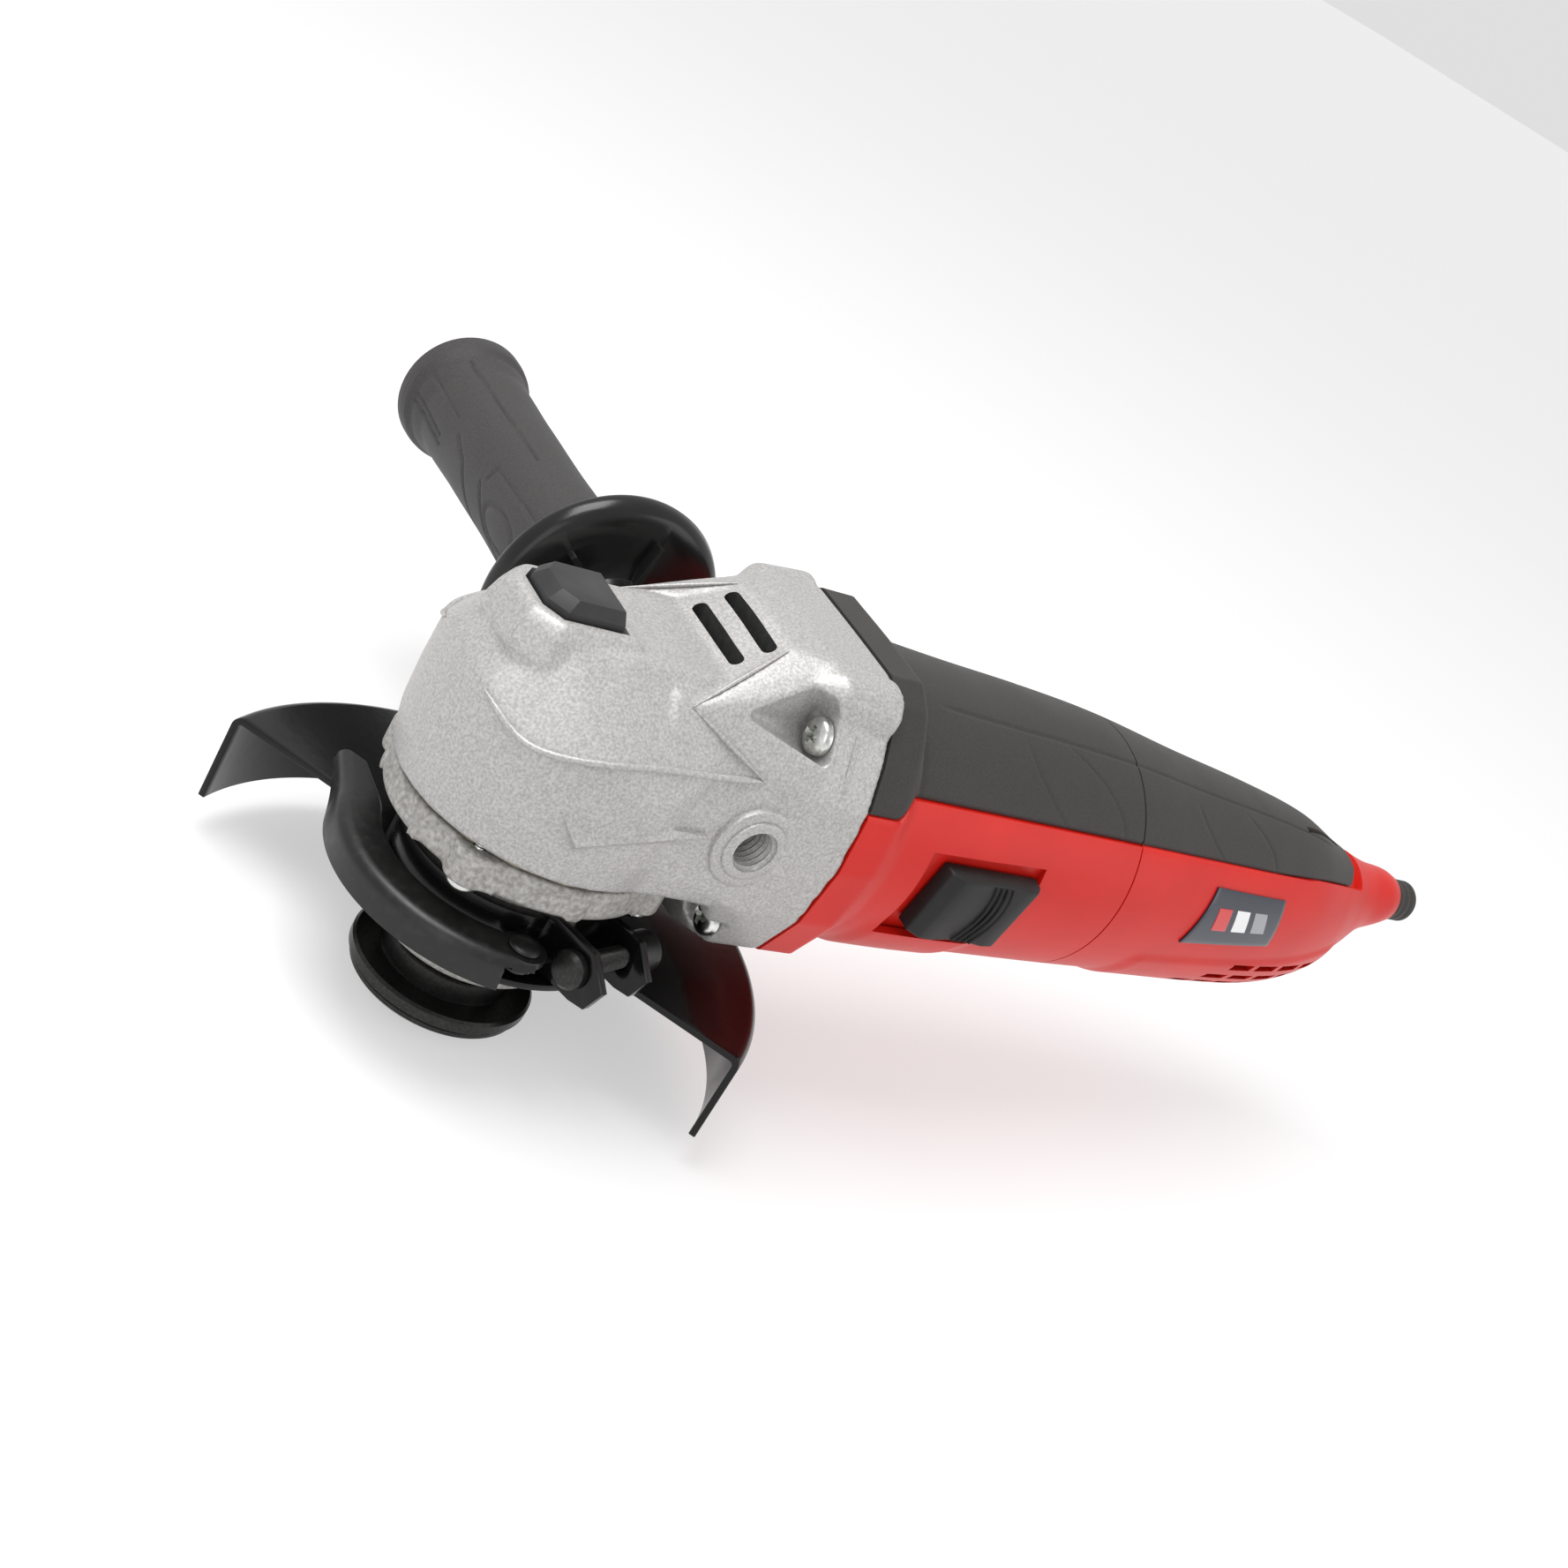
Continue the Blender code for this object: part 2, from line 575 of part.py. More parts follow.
def brushes():
    for name, turn in (("upper", 90), ("lower", -90)):
        holder = place(f"brush_holder_{name}", block((-125.5, 13, -4.6), (-115.9, 25.9, 4.6)), BRASS)
        cut(holder, block((-123.9, 9, -3.3), (-117.5, 30, 3.3)))
        brush = place(f"carbon_brush_{name}", block((-123.5, 10.9, -2.9), (-117.9, 22, 2.9)), CARBON)
        for piece in (holder, brush):
            stand(piece, (0, 0, 0), (turn, 0, 0))


# ---------------------------------------------------------------- gears and spindle

def bevel_teeth(teeth, pitch_radius, cone_height, phase):
    """Straight teeth on a pitch cone with its apex at the origin and its base at z = -cone_height."""
    addendum, dedendum, small_end = 0.85, 1.25, 0.69
    pitch = 2 * pi / teeth
    slant = atan2(pitch_radius, cone_height)
    rings = []
    for scale in (small_end, 1.0):
        ring = []
        for tooth in range(teeth):
            middle = phase + tooth * pitch
            for offset, rise in ((-0.28, -dedendum), (-0.1, addendum), (0.1, addendum), (0.28, -dedendum)):
                radius = (pitch_radius + rise * cos(slant)) * scale
                height = (-cone_height + rise * sin(slant)) * scale
                turn = middle + offset * pitch
                ring.append((radius * cos(turn), radius * sin(turn), height))
        rings.append(ring)
    return rings


def closed_gear(teeth_rings, back, front):
    """Adds a back, a bore and a front to a ring of teeth."""
    turns = [atan2(y, x) for x, y, _ in teeth_rings[1]]

    def flat(radius, height):
        return [(radius * cos(turn), radius * sin(turn), height) for turn in turns]
    rings = [teeth_rings[0], teeth_rings[1]] + [flat(radius, height) for radius, height in back]
    rings += [flat(radius, height) for radius, height in front]
    return loft(rings, loop=True)


def pinion_and_gear():
    small = bevel_teeth(PINION_TEETH, PINION_RADIUS, GEAR_RADIUS, 0.0)
    pinion_mesh = closed_gear(small, [(5.2, -20.9), (5.2, -23.8), (2.3 + GAP, -23.8)], [(2.3 + GAP, -13.5)])
    pinion = place("pinion", along_x(pinion_mesh), STEEL)
    big = bevel_teeth(GEAR_TEETH, GEAR_RADIUS, PINION_RADIUS, pi + pi / GEAR_TEETH)
    gear_front = [(6 + GAP, -3.2), (8.3, -3.2), (8.6, -5.6), (12.95, -5.6)]
    gear_mesh = closed_gear(big, [(19.6, -12.2), (6 + GAP, -12.2)], gear_front)
    gear = place("bevel_gear", gear_mesh, STEEL)
    for number in range(LOCK_HOLES):
        hole = moved(disc(1.95, -9.5, 0, 14), LOCK_PIN_X, 0, 0)
        cut(gear, about_z(hole, 360 * number / LOCK_HOLES))
    return pinion, gear


def spindle():
    profile = [(0, 17.6), (3.6, 17.6), (4, 17.2), (4, 3), (6, 2.6), (6, -29.2), (8.6, -29.5), (8.6, -56.6),
               (7, -57.2), (7, -CENTRE_HEIGHT + 0.8), (6.2, -CENTRE_HEIGHT), (0, -CENTRE_HEIGHT)]
    return place("spindle", turned(profile, 28), STEEL)


def inner_flange():
    profile = [(7 + GAP, -57.6), (14.5, -57.6), (14.5, -62.5), (20.4, -62.5), (20.9, -63), (20.9, -65.3),
               (20.4, -65.8), (7 + GAP, -65.8)]
    return place("inner_flange", turned(profile, 28), DARK_STEEL)


def lock_nut():
    profile = [(7 + GAP, -66.1), (19.8, -66.1), (19.8, -67.4), (19.3, -67.9), (14.5, -67.9), (14, -71.2),
               (7 + GAP, -71.2)]
    nut = place("lock_nut", turned(profile, 28), DARK_STEEL)
    for turn in (45, 135, 225, 315):
        cut(nut, about_z(moved(disc(2.2, -80, -66.9, 12), 17, 0, 0), turn))
    return nut


# ---------------------------------------------------------------- spindle lock

def spindle_lock():
    outline = [(-7.6, -8.8), (5.4, -8.8), (8.8, -4.6), (8.8, 4.6), (5.4, 8.8), (-7.6, 8.8)]
    low = [(x, y, 23.8) for x, y in outline]
    brow = [(x, y, 28.6) for x, y in outline]
    top = [(x * 0.62 - 0.6, y * 0.62, 31.6) for x, y in outline]
    button = place("lock_button", moved(loft([low, brow, top]), BUTTON_X, 0, 0), BLACK)
    pin_mesh = turned([(0, -3.4), (1.4, -3.4), (1.6, -3), (1.6, 23.4), (0, 23.4)], 12)
    pin = place("lock_pin", moved(pin_mesh, LOCK_PIN_X, 0, 0), STEEL)
    spring = place("lock_spring", moved(tube(1.9, 2.3, 12.1, 23.3, 12), LOCK_PIN_X, 0, 0), STEEL)
    return button, pin, spring


# ---------------------------------------------------------------- guard and its clamp

def guard():
    low = GUARD_TOP - GUARD_STEEL
    section = [(26, GUARD_TOP), (GUARD_RADIUS - 1.2, GUARD_TOP), (GUARD_RADIUS, GUARD_TOP - 1.2),
               (GUARD_RADIUS, GUARD_TOP - GUARD_DEPTH), (GUARD_RADIUS - GUARD_STEEL, GUARD_TOP - GUARD_DEPTH),
               (GUARD_RADIUS - GUARD_STEEL, low - 0.4), (GUARD_RADIUS - GUARD_STEEL - 0.4, low), (26, low)]
    shell = place("guard_shell", turned(section, 28, GUARD_FROM, GUARD_TO), PAINT)
    join(shell, tube(COLLAR_RADIUS + 0.4, 31, low - 0.1, GUARD_TOP + 0.1, 24))
    return shell


def tangent_frame(name, angle):
    """X along the clamp screw, Y outwards, at the clamp's split."""
    frame = axis_frame(name, (0, 0, 0), (0, 0, angle - 90))
    frame.parent = CENTRE
    return frame


def clamp():
    """The band round the collar with its two ears, and the tab that carries the lever."""
    inner, outer = COLLAR_RADIUS + 0.4, COLLAR_RADIUS + 2.6
    half_split = degrees(asin(EAR_OFFSET / outer))
    frame = tangent_frame("clamp_frame", CLAMP_ANGLE)
    band = turned([(inner, BAND_LOW), (outer, BAND_LOW), (outer, BAND_HIGH), (inner, BAND_HIGH)], 28,
                  90 + half_split, 450 - half_split)
    obj = place("guard_clamp_band", band, PAINT, frame)
    ear = [(20.2, BAND_HIGH), (24, -29.2), (35, -29.2), (41, -35), (39, -40.5), (35, -41.4), (20.2, -41.4)]
    for side in (1, -1):
        low, high = sorted((side * EAR_OFFSET, side * (EAR_OFFSET + 2)))
        sheet = loft([[(x, y, z) for y, z in ear] for x in (low, high)])
        join(obj, sheet)
        cut(obj, moved(along_x(disc(2.9, low - 3, high + 3, 14)), 0, CLAMP_SCREW[0], CLAMP_SCREW[1]))
    root = EAR_OFFSET + 1.5
    tab = plate([(root, 22), (RIVET_ALONG, 21), (RIVET_ALONG + 3.6, 23.5), (RIVET_ALONG + 3.5, 27),
                 (RIVET_ALONG + 0.5, 29), (RIVET_ALONG - 3.5, 28.5), (RIVET_ALONG - 4.6, 27.4), (root, 27.4)],
                -37.8, -36.2)
    join(obj, tab)
    cut(obj, moved(disc(2.3, -50, -30, 14), RIVET_ALONG, RIVET_OUT, 0))
    return obj, frame


def clamp_fasteners(frame):
    screw_profile = [(0, -16.5), (2.5, -16.5), (2.5, 8.9), (4.4, 8.9), (4.4, 12.2), (0, 12.2)]
    screw_mesh = moved(along_x(turned(screw_profile, 18)), 0, *CLAMP_SCREW)
    screw = place("clamp_screw", screw_mesh, STEEL, frame)
    bore = 2.5 + GAP
    nut_profile = [(bore, -15.6), (4.4, -15.6), (4.6, -15.2), (4.6, -9.4), (4.4, -8.9), (bore, -8.9)]
    nut = place("clamp_nut", moved(along_x(turned(nut_profile, 18)), 0, *CLAMP_SCREW), PAINT, frame)
    rivet_profile = [(0, -39), (3, -39), (3, -38.1), (2, -38.1), (2, -33.7), (3.6, -33.7), (3, -32.6),
                     (0, -32.6)]
    rivet = place("lever_rivet", moved(turned(rivet_profile, 18), RIVET_ALONG, RIVET_OUT, 0), PAINT, frame)
    return screw, nut, rivet


def lever(frame):
    """A folded steel lever that wraps round the collar and flares out at its tip."""
    inner_edge, outer_edge = 26.8, 36.6
    start, end = 90 - 31, 90 - 163
    rings = []
    steps = 26
    for step in range(steps + 1):
        share = step / steps
        turn = radians(start + (end - start) * share)
        flare = 6.0 * max(0.0, (share - 0.82) / 0.18) ** 2
        narrow = 2.6 * max(0.0, (share - 0.8) / 0.2)
        low = LEVER_LOW + 3.5 * max(0.0, (share - 0.85) / 0.15)
        inner, outer = inner_edge + flare + narrow, outer_edge + flare
        under = LEVER_TOP - LEVER_STEEL
        profile = [(inner, LEVER_TOP), (outer - 2.6, LEVER_TOP), (outer - 0.6, LEVER_TOP - 2), (outer, low),
                   (outer - LEVER_STEEL, low), (outer - 2.2, LEVER_TOP - 2.2), (outer - 3.2, under),
                   (inner, under)]
        rings.append([(radius * cos(turn), radius * sin(turn), height) for radius, height in profile])
    obj = place("guard_lever", loft(rings), PAINT, frame)
    swept = disc(LEVER_CLEARANCE, LEVER_LOW - 1, LEVER_TOP - LEVER_STEEL - 0.05, 24)
    cut(obj, moved(swept, RIVET_ALONG, RIVET_OUT, 0))
    tongue = disc(5.0, LEVER_TOP - LEVER_STEEL + 0.05, LEVER_TOP - 0.05, 20)
    join(obj, moved(tongue, RIVET_ALONG, RIVET_OUT, 0))
    cut(obj, moved(disc(2.3, -50, -30, 14), RIVET_ALONG, RIVET_OUT, 0))
    return obj


# ---------------------------------------------------------------- side handle

def side_handle():
    """Hard core with the hand guard dish, soft grip and pommel, and the steel stud."""
    core_profile = [(5.3, -35.4), (9.5, -35.4), (10, -49), (12, -53.2), (27, -52), (29.45, -55.5), (28.6, -57),
                    (13, -56.6), (10.4, -58.6), (10.4, -148), (5.3, -148)]
    core = place("handle_core", moved(along_y(turned(core_profile, 24)), HANDLE_X, 0, HANDLE_Z), BLACK)
    grip_profile = [(10.7, -58.9), (12.8, -58.2), (14.8, -61), (14.2, -100), (14.8, -143), (17.2, -151),
                    (17.2, -154.5), (15.4, -155.6), (5.4, -155.6), (5.4, -149), (10.7, -149)]
    grip = place("handle_grip", moved(along_y(turned(grip_profile, 24)), HANDLE_X, 0, HANDLE_Z), SOFT)
    stud_profile = [(0, -21.2), (3.6, -21.2), (4, -22), (4, -35.2), (4.9, -35.6), (4.9, -90), (0, -90)]
    stud = place("handle_stud", moved(along_y(turned(stud_profile, 20)), HANDLE_X, 0, HANDLE_Z), ZINC)
    return core, grip, stud


def bearings():
    place("pinion_bearing", along_x(tube(5 + GAP, 13, -32.9, -24.9, 24)), STEEL)
    place("rear_bearing", along_x(tube(3.9 + GAP, 10.4, -137.4, -131.3, 24)), STEEL)
    place("rear_bearing_sleeve", along_x(tube(10.7, 11.5, -136.8, -131.3, 24)), SOFT)
    place("spindle_bearing", tube(6 + GAP, 15.9, -28.2, -18, 24), STEEL)
    place("spindle_bush", tube(4 + GAP, 6.2, 11.2, 18.5, 24), BRASS)


def cord_clamp():
    clamp_bar = place("cord_clamp", block((-236, -7.5, -6.5), (-228, 7.5, -3.2)), BLACK)
    for side in (1, -1):
        cut(clamp_bar, moved(disc(1.5, -10, 0, 10), -232, side * 5.2, 0))
    return clamp_bar


gear_housing()
bearing_cap()
fasteners()
motor_housing()
rear_housing()
rear_screws()
badge()
cord_guard()
switch_parts()
shaft_and_rotor()
cooling_fan()
stator()
air_baffle()
brushes()
pinion_and_gear()
spindle()
inner_flange()
lock_nut()
spindle_lock()
guard()
_, clamp_frame = clamp()
clamp_fasteners(clamp_frame)
lever(clamp_frame)
side_handle()
bearings()
cord_clamp()
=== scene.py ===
"""Looks of a compact angle grinder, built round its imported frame."""

from math import asin, cos, degrees, hypot, pi, radians, sin, sqrt

import bmesh
import bpy
from mathutils import Matrix, Vector


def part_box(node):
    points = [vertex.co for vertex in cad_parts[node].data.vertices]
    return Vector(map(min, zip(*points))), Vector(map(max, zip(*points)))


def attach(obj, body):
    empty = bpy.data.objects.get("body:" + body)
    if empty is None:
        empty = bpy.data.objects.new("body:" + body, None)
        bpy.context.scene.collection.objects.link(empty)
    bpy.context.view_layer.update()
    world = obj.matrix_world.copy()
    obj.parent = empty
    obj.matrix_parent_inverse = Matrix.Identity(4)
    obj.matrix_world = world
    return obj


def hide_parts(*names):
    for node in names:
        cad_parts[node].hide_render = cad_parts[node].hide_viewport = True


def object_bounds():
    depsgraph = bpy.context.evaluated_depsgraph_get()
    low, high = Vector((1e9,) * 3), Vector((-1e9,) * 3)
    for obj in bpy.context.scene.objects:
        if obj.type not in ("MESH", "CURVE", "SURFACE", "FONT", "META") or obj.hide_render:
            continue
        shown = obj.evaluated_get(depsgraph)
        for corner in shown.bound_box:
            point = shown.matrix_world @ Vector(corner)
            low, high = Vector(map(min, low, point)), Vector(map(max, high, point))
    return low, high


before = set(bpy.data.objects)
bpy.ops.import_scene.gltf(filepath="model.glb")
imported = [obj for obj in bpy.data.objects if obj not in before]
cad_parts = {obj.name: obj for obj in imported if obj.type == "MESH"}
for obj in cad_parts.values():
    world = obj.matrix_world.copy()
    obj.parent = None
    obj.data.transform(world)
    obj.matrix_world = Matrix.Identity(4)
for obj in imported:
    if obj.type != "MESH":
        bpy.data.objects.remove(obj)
cad_box = [list(corner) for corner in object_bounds()]

# ---- Stand, light and camera
# The grinder stands in a plain pale studio: one pale floor, broad soft lights above and in front, and a
# long lens that is rolled so that the tool slants down to the right.
shaft_low, shaft_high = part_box("armature_shaft")
MOTOR_AXIS_MM = 1000 * (shaft_low[2] + shaft_high[2]) / 2

floor_mesh = bpy.data.meshes.new("floor")
floor_build = bmesh.new()
bmesh.ops.create_grid(floor_build, x_segments=1, y_segments=1, size=20.0)
bmesh.ops.translate(floor_build, verts=floor_build.verts, vec=(0, 0, cad_box[0][2] - 0.0005))
floor_build.to_mesh(floor_mesh)
floor_build.free()
floor = bpy.data.objects.new("floor", floor_mesh)
bpy.context.scene.collection.objects.link(floor)
floor_paint = bpy.data.materials.new("pale_floor")
floor_paint.use_nodes = True
floor_shader = floor_paint.node_tree.nodes["Principled BSDF"]
floor_shader.inputs["Base Color"].default_value = (0.45, 0.45, 0.45, 1)
floor_shader.inputs["Emission Color"].default_value = (1, 1, 1, 1)
floor_shader.inputs["Emission Strength"].default_value = 0.5
floor_shader.inputs["Roughness"].default_value = 0.9
floor_shader.inputs["Specular IOR Level"].default_value = 0.1
floor_mesh.materials.append(floor_paint)

studio = bpy.data.worlds.new("studio")
bpy.context.scene.world = studio
studio.use_nodes = True
studio.node_tree.nodes["Background"].inputs["Color"].default_value = (1, 1, 1, 1)
studio.node_tree.nodes["Background"].inputs["Strength"].default_value = 0.74
bpy.context.scene.view_settings.view_transform = "Standard"


def soft_light(name, place, aim, size, watts):
    lamp = bpy.data.lights.new(name, "AREA")
    lamp.shape = "RECTANGLE"
    lamp.size, lamp.size_y = size
    lamp.energy = watts
    obj = bpy.data.objects.new(name, lamp)
    bpy.context.scene.collection.objects.link(obj)
    obj.location = place
    obj.rotation_euler = (Vector(aim) - Vector(place)).to_track_quat("-Z", "Y").to_euler()


BODY_MIDDLE = (-0.09, -0.02, 0.06)
soft_light("key_light", (0.25, -0.10, 0.95), BODY_MIDDLE, (0.7, 0.5), 8.0)
soft_light("front_light", (0.75, 0.70, 0.45), BODY_MIDDLE, (0.5, 0.8), 1.4)
soft_light("side_light", (-0.75, 0.65, 0.35), BODY_MIDDLE, (0.5, 0.6), 1.2)

CAMERA_MM = Vector((238.91, 329.24, 193.61 + MOTOR_AXIS_MM))
CAMERA_BEARING, CAMERA_HEIGHT, CAMERA_ROLL = radians(41.98), radians(23.9), radians(31.51)
level_reach = cos(CAMERA_HEIGHT)
back = Vector((sin(CAMERA_BEARING) * level_reach, cos(CAMERA_BEARING) * level_reach, sin(CAMERA_HEIGHT)))
right = Vector((0, 0, 1)).cross(back).normalized()
upward = back.cross(right)
rolled_right = right * cos(CAMERA_ROLL) + upward * sin(CAMERA_ROLL)
rolled_up = upward * cos(CAMERA_ROLL) - right * sin(CAMERA_ROLL)
camera_data = bpy.data.cameras.new("camera")
camera_data.sensor_width = 36
camera_data.lens = 50.5
camera_data.clip_start = 0.01
camera = bpy.data.objects.new("camera", camera_data)
bpy.context.scene.collection.objects.link(camera)
turned_to = Matrix((rolled_right, rolled_up, back)).transposed().to_4x4()
camera.matrix_world = Matrix.Translation(CAMERA_MM / 1000) @ turned_to
bpy.context.scene.camera = camera

# ---- Gear housing
# Head of pressure-cast aluminium, shot-blasted to a bright grain: a drum over the bevel gears, a hipped
# top with the lock button, a ramp with two cooling slots, and a flange that four screws pull to the motor.
MM = 0.001
RING_X = -52.0
HEAD_FLOOR = -16.7
SADDLE = [(0, 26.5), (14, 26.5), (20, 24), (24.5, 19.5), (29.5, 12.5), (31.5, 4), (32, -3), (31.6, -10),
          (31, -16.2), (10, -16.2), (0, -16.2)]
RAMP_FOOT = [(0, 27.2), (15, 27.2), (20.5, 23.8), (24.8, 19), (29.7, 13.6), (31.8, 5), (32.3, -3), (32, -11),
             (31, -16.4), (10, -16.4), (0, -16.4)]
RAMP_HEAD = [(0, 36.6), (12.4, 36.2), (20, 29), (25, 22.5), (30.2, 15.4), (32.6, 8), (33.3, -2), (33, -13),
             (31.5, -16.6), (10, -16.6), (0, -16.6)]
RING = [(0, 38), (16.6, 37.9), (22.4, 34.4), (26, 29.8), (29.6, 23.4), (33.4, 13.7), (34.8, -0.5),
        (32.7, -15.8), (26.5, -29), (11, -34.2), (0, -34.5)]
HANDLE_X, HANDLE_Z, HANDLE_HOLE, BOSS_FACE = -29.7, 0.5, 4.35, 34.2
FIXING_Y, FIXING_Z = 23.7, 24.1
LOCK_PIN_X, BUTTON_X = 10.8, 14.6


def arc(x, y, across_by, up_by, steps, step_degrees, start=0):
    """Points on an arc round (x, y), for outlines that have a round stretch."""
    return [(x + across_by * cos(a), y + up_by * sin(a))
            for a in [radians(start + step_degrees * number) for number in range(steps)]]


def turn(profile, steps=96):
    """Spins a closed or axis-to-axis outline of (radius, height) about Z."""
    build = bmesh.new()
    points = [build.verts.new((radius, 0, height)) for radius, height in profile]
    edges = [build.edges.new(pair) for pair in zip(points, points[1:])]
    if profile[0][0] > 0:
        edges.append(build.edges.new((points[-1], points[0])))
    bmesh.ops.spin(build, geom=points + edges, axis=(0, 0, 1), cent=(0, 0, 0), angle=2 * pi, steps=steps,
                   use_merge=True)
    bmesh.ops.remove_doubles(build, verts=build.verts, dist=1e-4)
    bmesh.ops.recalc_face_normals(build, faces=build.faces)
    return build


def loft(rings, closed=False):
    """Bridges rings of equally many points; open ends are capped."""
    build = bmesh.new()
    loops = []
    for ring in rings:
        verts = bmesh.ops.create_circle(build, segments=len(ring), radius=1)["verts"]
        for vert, point in zip(verts, ring):
            vert.co = point
        loops.append([build.edges.get((a, b)) for a, b in zip(verts, verts[1:] + verts[:1])])
    for first, second in zip(loops, loops[1:] + (loops[:1] if closed else [])):
        bmesh.ops.bridge_loops(build, edges=first + second)
    if not closed:
        for loop in (loops[0], loops[-1]):
            bmesh.ops.contextual_create(build, geom=loop)
    bmesh.ops.recalc_face_normals(build, faces=build.faces)
    return build


def box(low, high):
    build = bmesh.new()
    bmesh.ops.create_cube(build, size=1)
    bmesh.ops.scale(build, verts=build.verts, vec=[b - a for a, b in zip(low, high)])
    bmesh.ops.translate(build, verts=build.verts, vec=[(a + b) / 2 for a, b in zip(low, high)])
    return build


def hull(points):
    build = bmesh.new()
    for point in points:
        build.verts.new(point)
    found = bmesh.ops.convex_hull(build, input=build.verts)
    left_over = set(found["geom_interior"] + found["geom_unused"])
    spare = [item for item in left_over if isinstance(item, bmesh.types.BMVert)]
    bmesh.ops.delete(build, geom=spare, context="VERTS")
    bmesh.ops.recalc_face_normals(build, faces=build.faces)
    return build


def soft_slot(x, half_length, width):
    """A cooling slot's cutter, round at its ends."""
    bend = width / 2
    ends = [point for side in (1, -1) for point in arc(x + bend, side * (half_length - bend), bend, bend, 12, 30)]
    return hull([(px, py, z) for px, py in ends for z in (20, 46)])


def rod(radius, low, high, steps=48):
    return turn([(0, low), (radius, low), (radius, high), (0, high)], steps)


def lay_x(build):
    bmesh.ops.rotate(build, verts=build.verts, matrix=Matrix.Rotation(pi / 2, 3, "Y"))
    return build


def lay_y(build):
    bmesh.ops.rotate(build, verts=build.verts, matrix=Matrix.Rotation(-pi / 2, 3, "X"))
    return build


def swing(build, axis, angle):
    bmesh.ops.rotate(build, verts=build.verts, matrix=Matrix.Rotation(radians(angle), 3, axis))
    return build


def shift(build, *offset):
    bmesh.ops.translate(build, verts=build.verts, vec=offset)
    return build


def together(*builds):
    """Puts several closed shells in one bmesh."""
    whole = bmesh.new()
    for build in builds:
        holder = bpy.data.meshes.new("holder")
        build.to_mesh(holder)
        build.free()
        whole.from_mesh(holder)
        bpy.data.meshes.remove(holder)
    return whole


def as_object(name, build, finish=None):
    """Takes a shape in millimetres about the motor axis to its place in metres."""
    bmesh.ops.translate(build, verts=build.verts, vec=(0, 0, MOTOR_AXIS_MM))
    bmesh.ops.scale(build, verts=build.verts, vec=(MM, MM, MM))
    data = bpy.data.meshes.new(name)
    build.to_mesh(data)
    build.free()
    obj = bpy.data.objects.new(name, data)
    bpy.context.scene.collection.objects.link(obj)
    if finish:
        data.materials.append(finish)
    return obj


def settle(obj):
    """Makes the object's modifiers part of its mesh."""
    bpy.context.view_layer.update()
    shaped = bpy.data.meshes.new_from_object(obj.evaluated_get(bpy.context.evaluated_depsgraph_get()))
    shaped.materials.clear()
    for finish in obj.data.materials:
        shaped.materials.append(finish)
    obj.modifiers.clear()
    obj.data = shaped
    return obj


def carve(obj, operation, *builds):
    """Cuts shapes from an object, or joins them to it."""
    tools = []
    for build in builds:
        tool = as_object("tool", build)
        step = obj.modifiers.new("carve", "BOOLEAN")
        step.operation = operation
        step.solver = "MANIFOLD"
        step.object = tool
        tools.append(tool)
    settle(obj)
    for tool in tools:
        bpy.data.objects.remove(tool)
    return obj


def melt(obj, voxel_mm, passes, strength=0.5):
    """Fuses overlapping shells and rounds their edges, as a casting or a moulding is rounded."""
    fuse = obj.modifiers.new("fuse", "REMESH")
    fuse.mode = "VOXEL"
    fuse.voxel_size = voxel_mm * MM
    ease = obj.modifiers.new("ease", "SMOOTH")
    ease.factor = strength
    ease.iterations = passes
    return settle(obj)


def soften(obj, width_mm, segments=3, angle=35):
    edge = obj.modifiers.new("edge", "BEVEL")
    edge.width = width_mm * MM
    edge.segments = segments
    edge.limit_method = "ANGLE"
    edge.angle_limit = radians(angle)
    edge.harden_normals = False
    return settle(obj)


def shade(obj, angle=35):
    obj.data.shade_smooth()
    obj.data.set_sharp_from_angle(angle=radians(angle))
    return obj


def mirrored(half):
    return half + [(-y, z) for y, z in reversed(half[1:-1])]


def station(x, half):
    return [(x, y, z) for y, z in mirrored(half)]


def finish_of(name, colour, roughness, metallic=0.0):
    """A named finish with its object coordinates ready for grain."""
    look = bpy.data.materials.new(name)
    look.use_nodes = True
    look.diffuse_color = (*colour, 1)
    nodes, links = look.node_tree.nodes, look.node_tree.links
    shader = nodes["Principled BSDF"]
    shader.inputs["Base Color"].default_value = (*colour, 1)
    shader.inputs["Roughness"].default_value = roughness
    shader.inputs["Metallic"].default_value = metallic
    place = nodes.new("ShaderNodeTexCoord")
    return look, nodes, links, shader, place.outputs["Object"]


def grain(nodes, links, where, scale, detail=3.0):
    texture = nodes.new("ShaderNodeTexNoise")
    texture.inputs["Scale"].default_value = scale
    texture.inputs["Detail"].default_value = detail
    links.new(where, texture.inputs["Vector"])
    return texture.outputs["Fac"]


def between(nodes, links, value, low, high, low_colour, high_colour):
    """Spreads a pattern's values over two colours."""
    ramp = nodes.new("ShaderNodeValToRGB")
    ramp.color_ramp.elements[0].position = low
    ramp.color_ramp.elements[1].position = high
    ramp.color_ramp.elements[0].color = (*low_colour, 1)
    ramp.color_ramp.elements[1].color = (*high_colour, 1)
    links.new(value, ramp.inputs["Fac"])
    return ramp.outputs["Color"]


def roughened(nodes, links, shader, height, strength, distance):
    bump = nodes.new("ShaderNodeBump")
    bump.inputs["Strength"].default_value = strength
    bump.inputs["Distance"].default_value = distance
    links.new(height, bump.inputs["Height"])
    links.new(bump.outputs["Normal"], shader.inputs["Normal"])


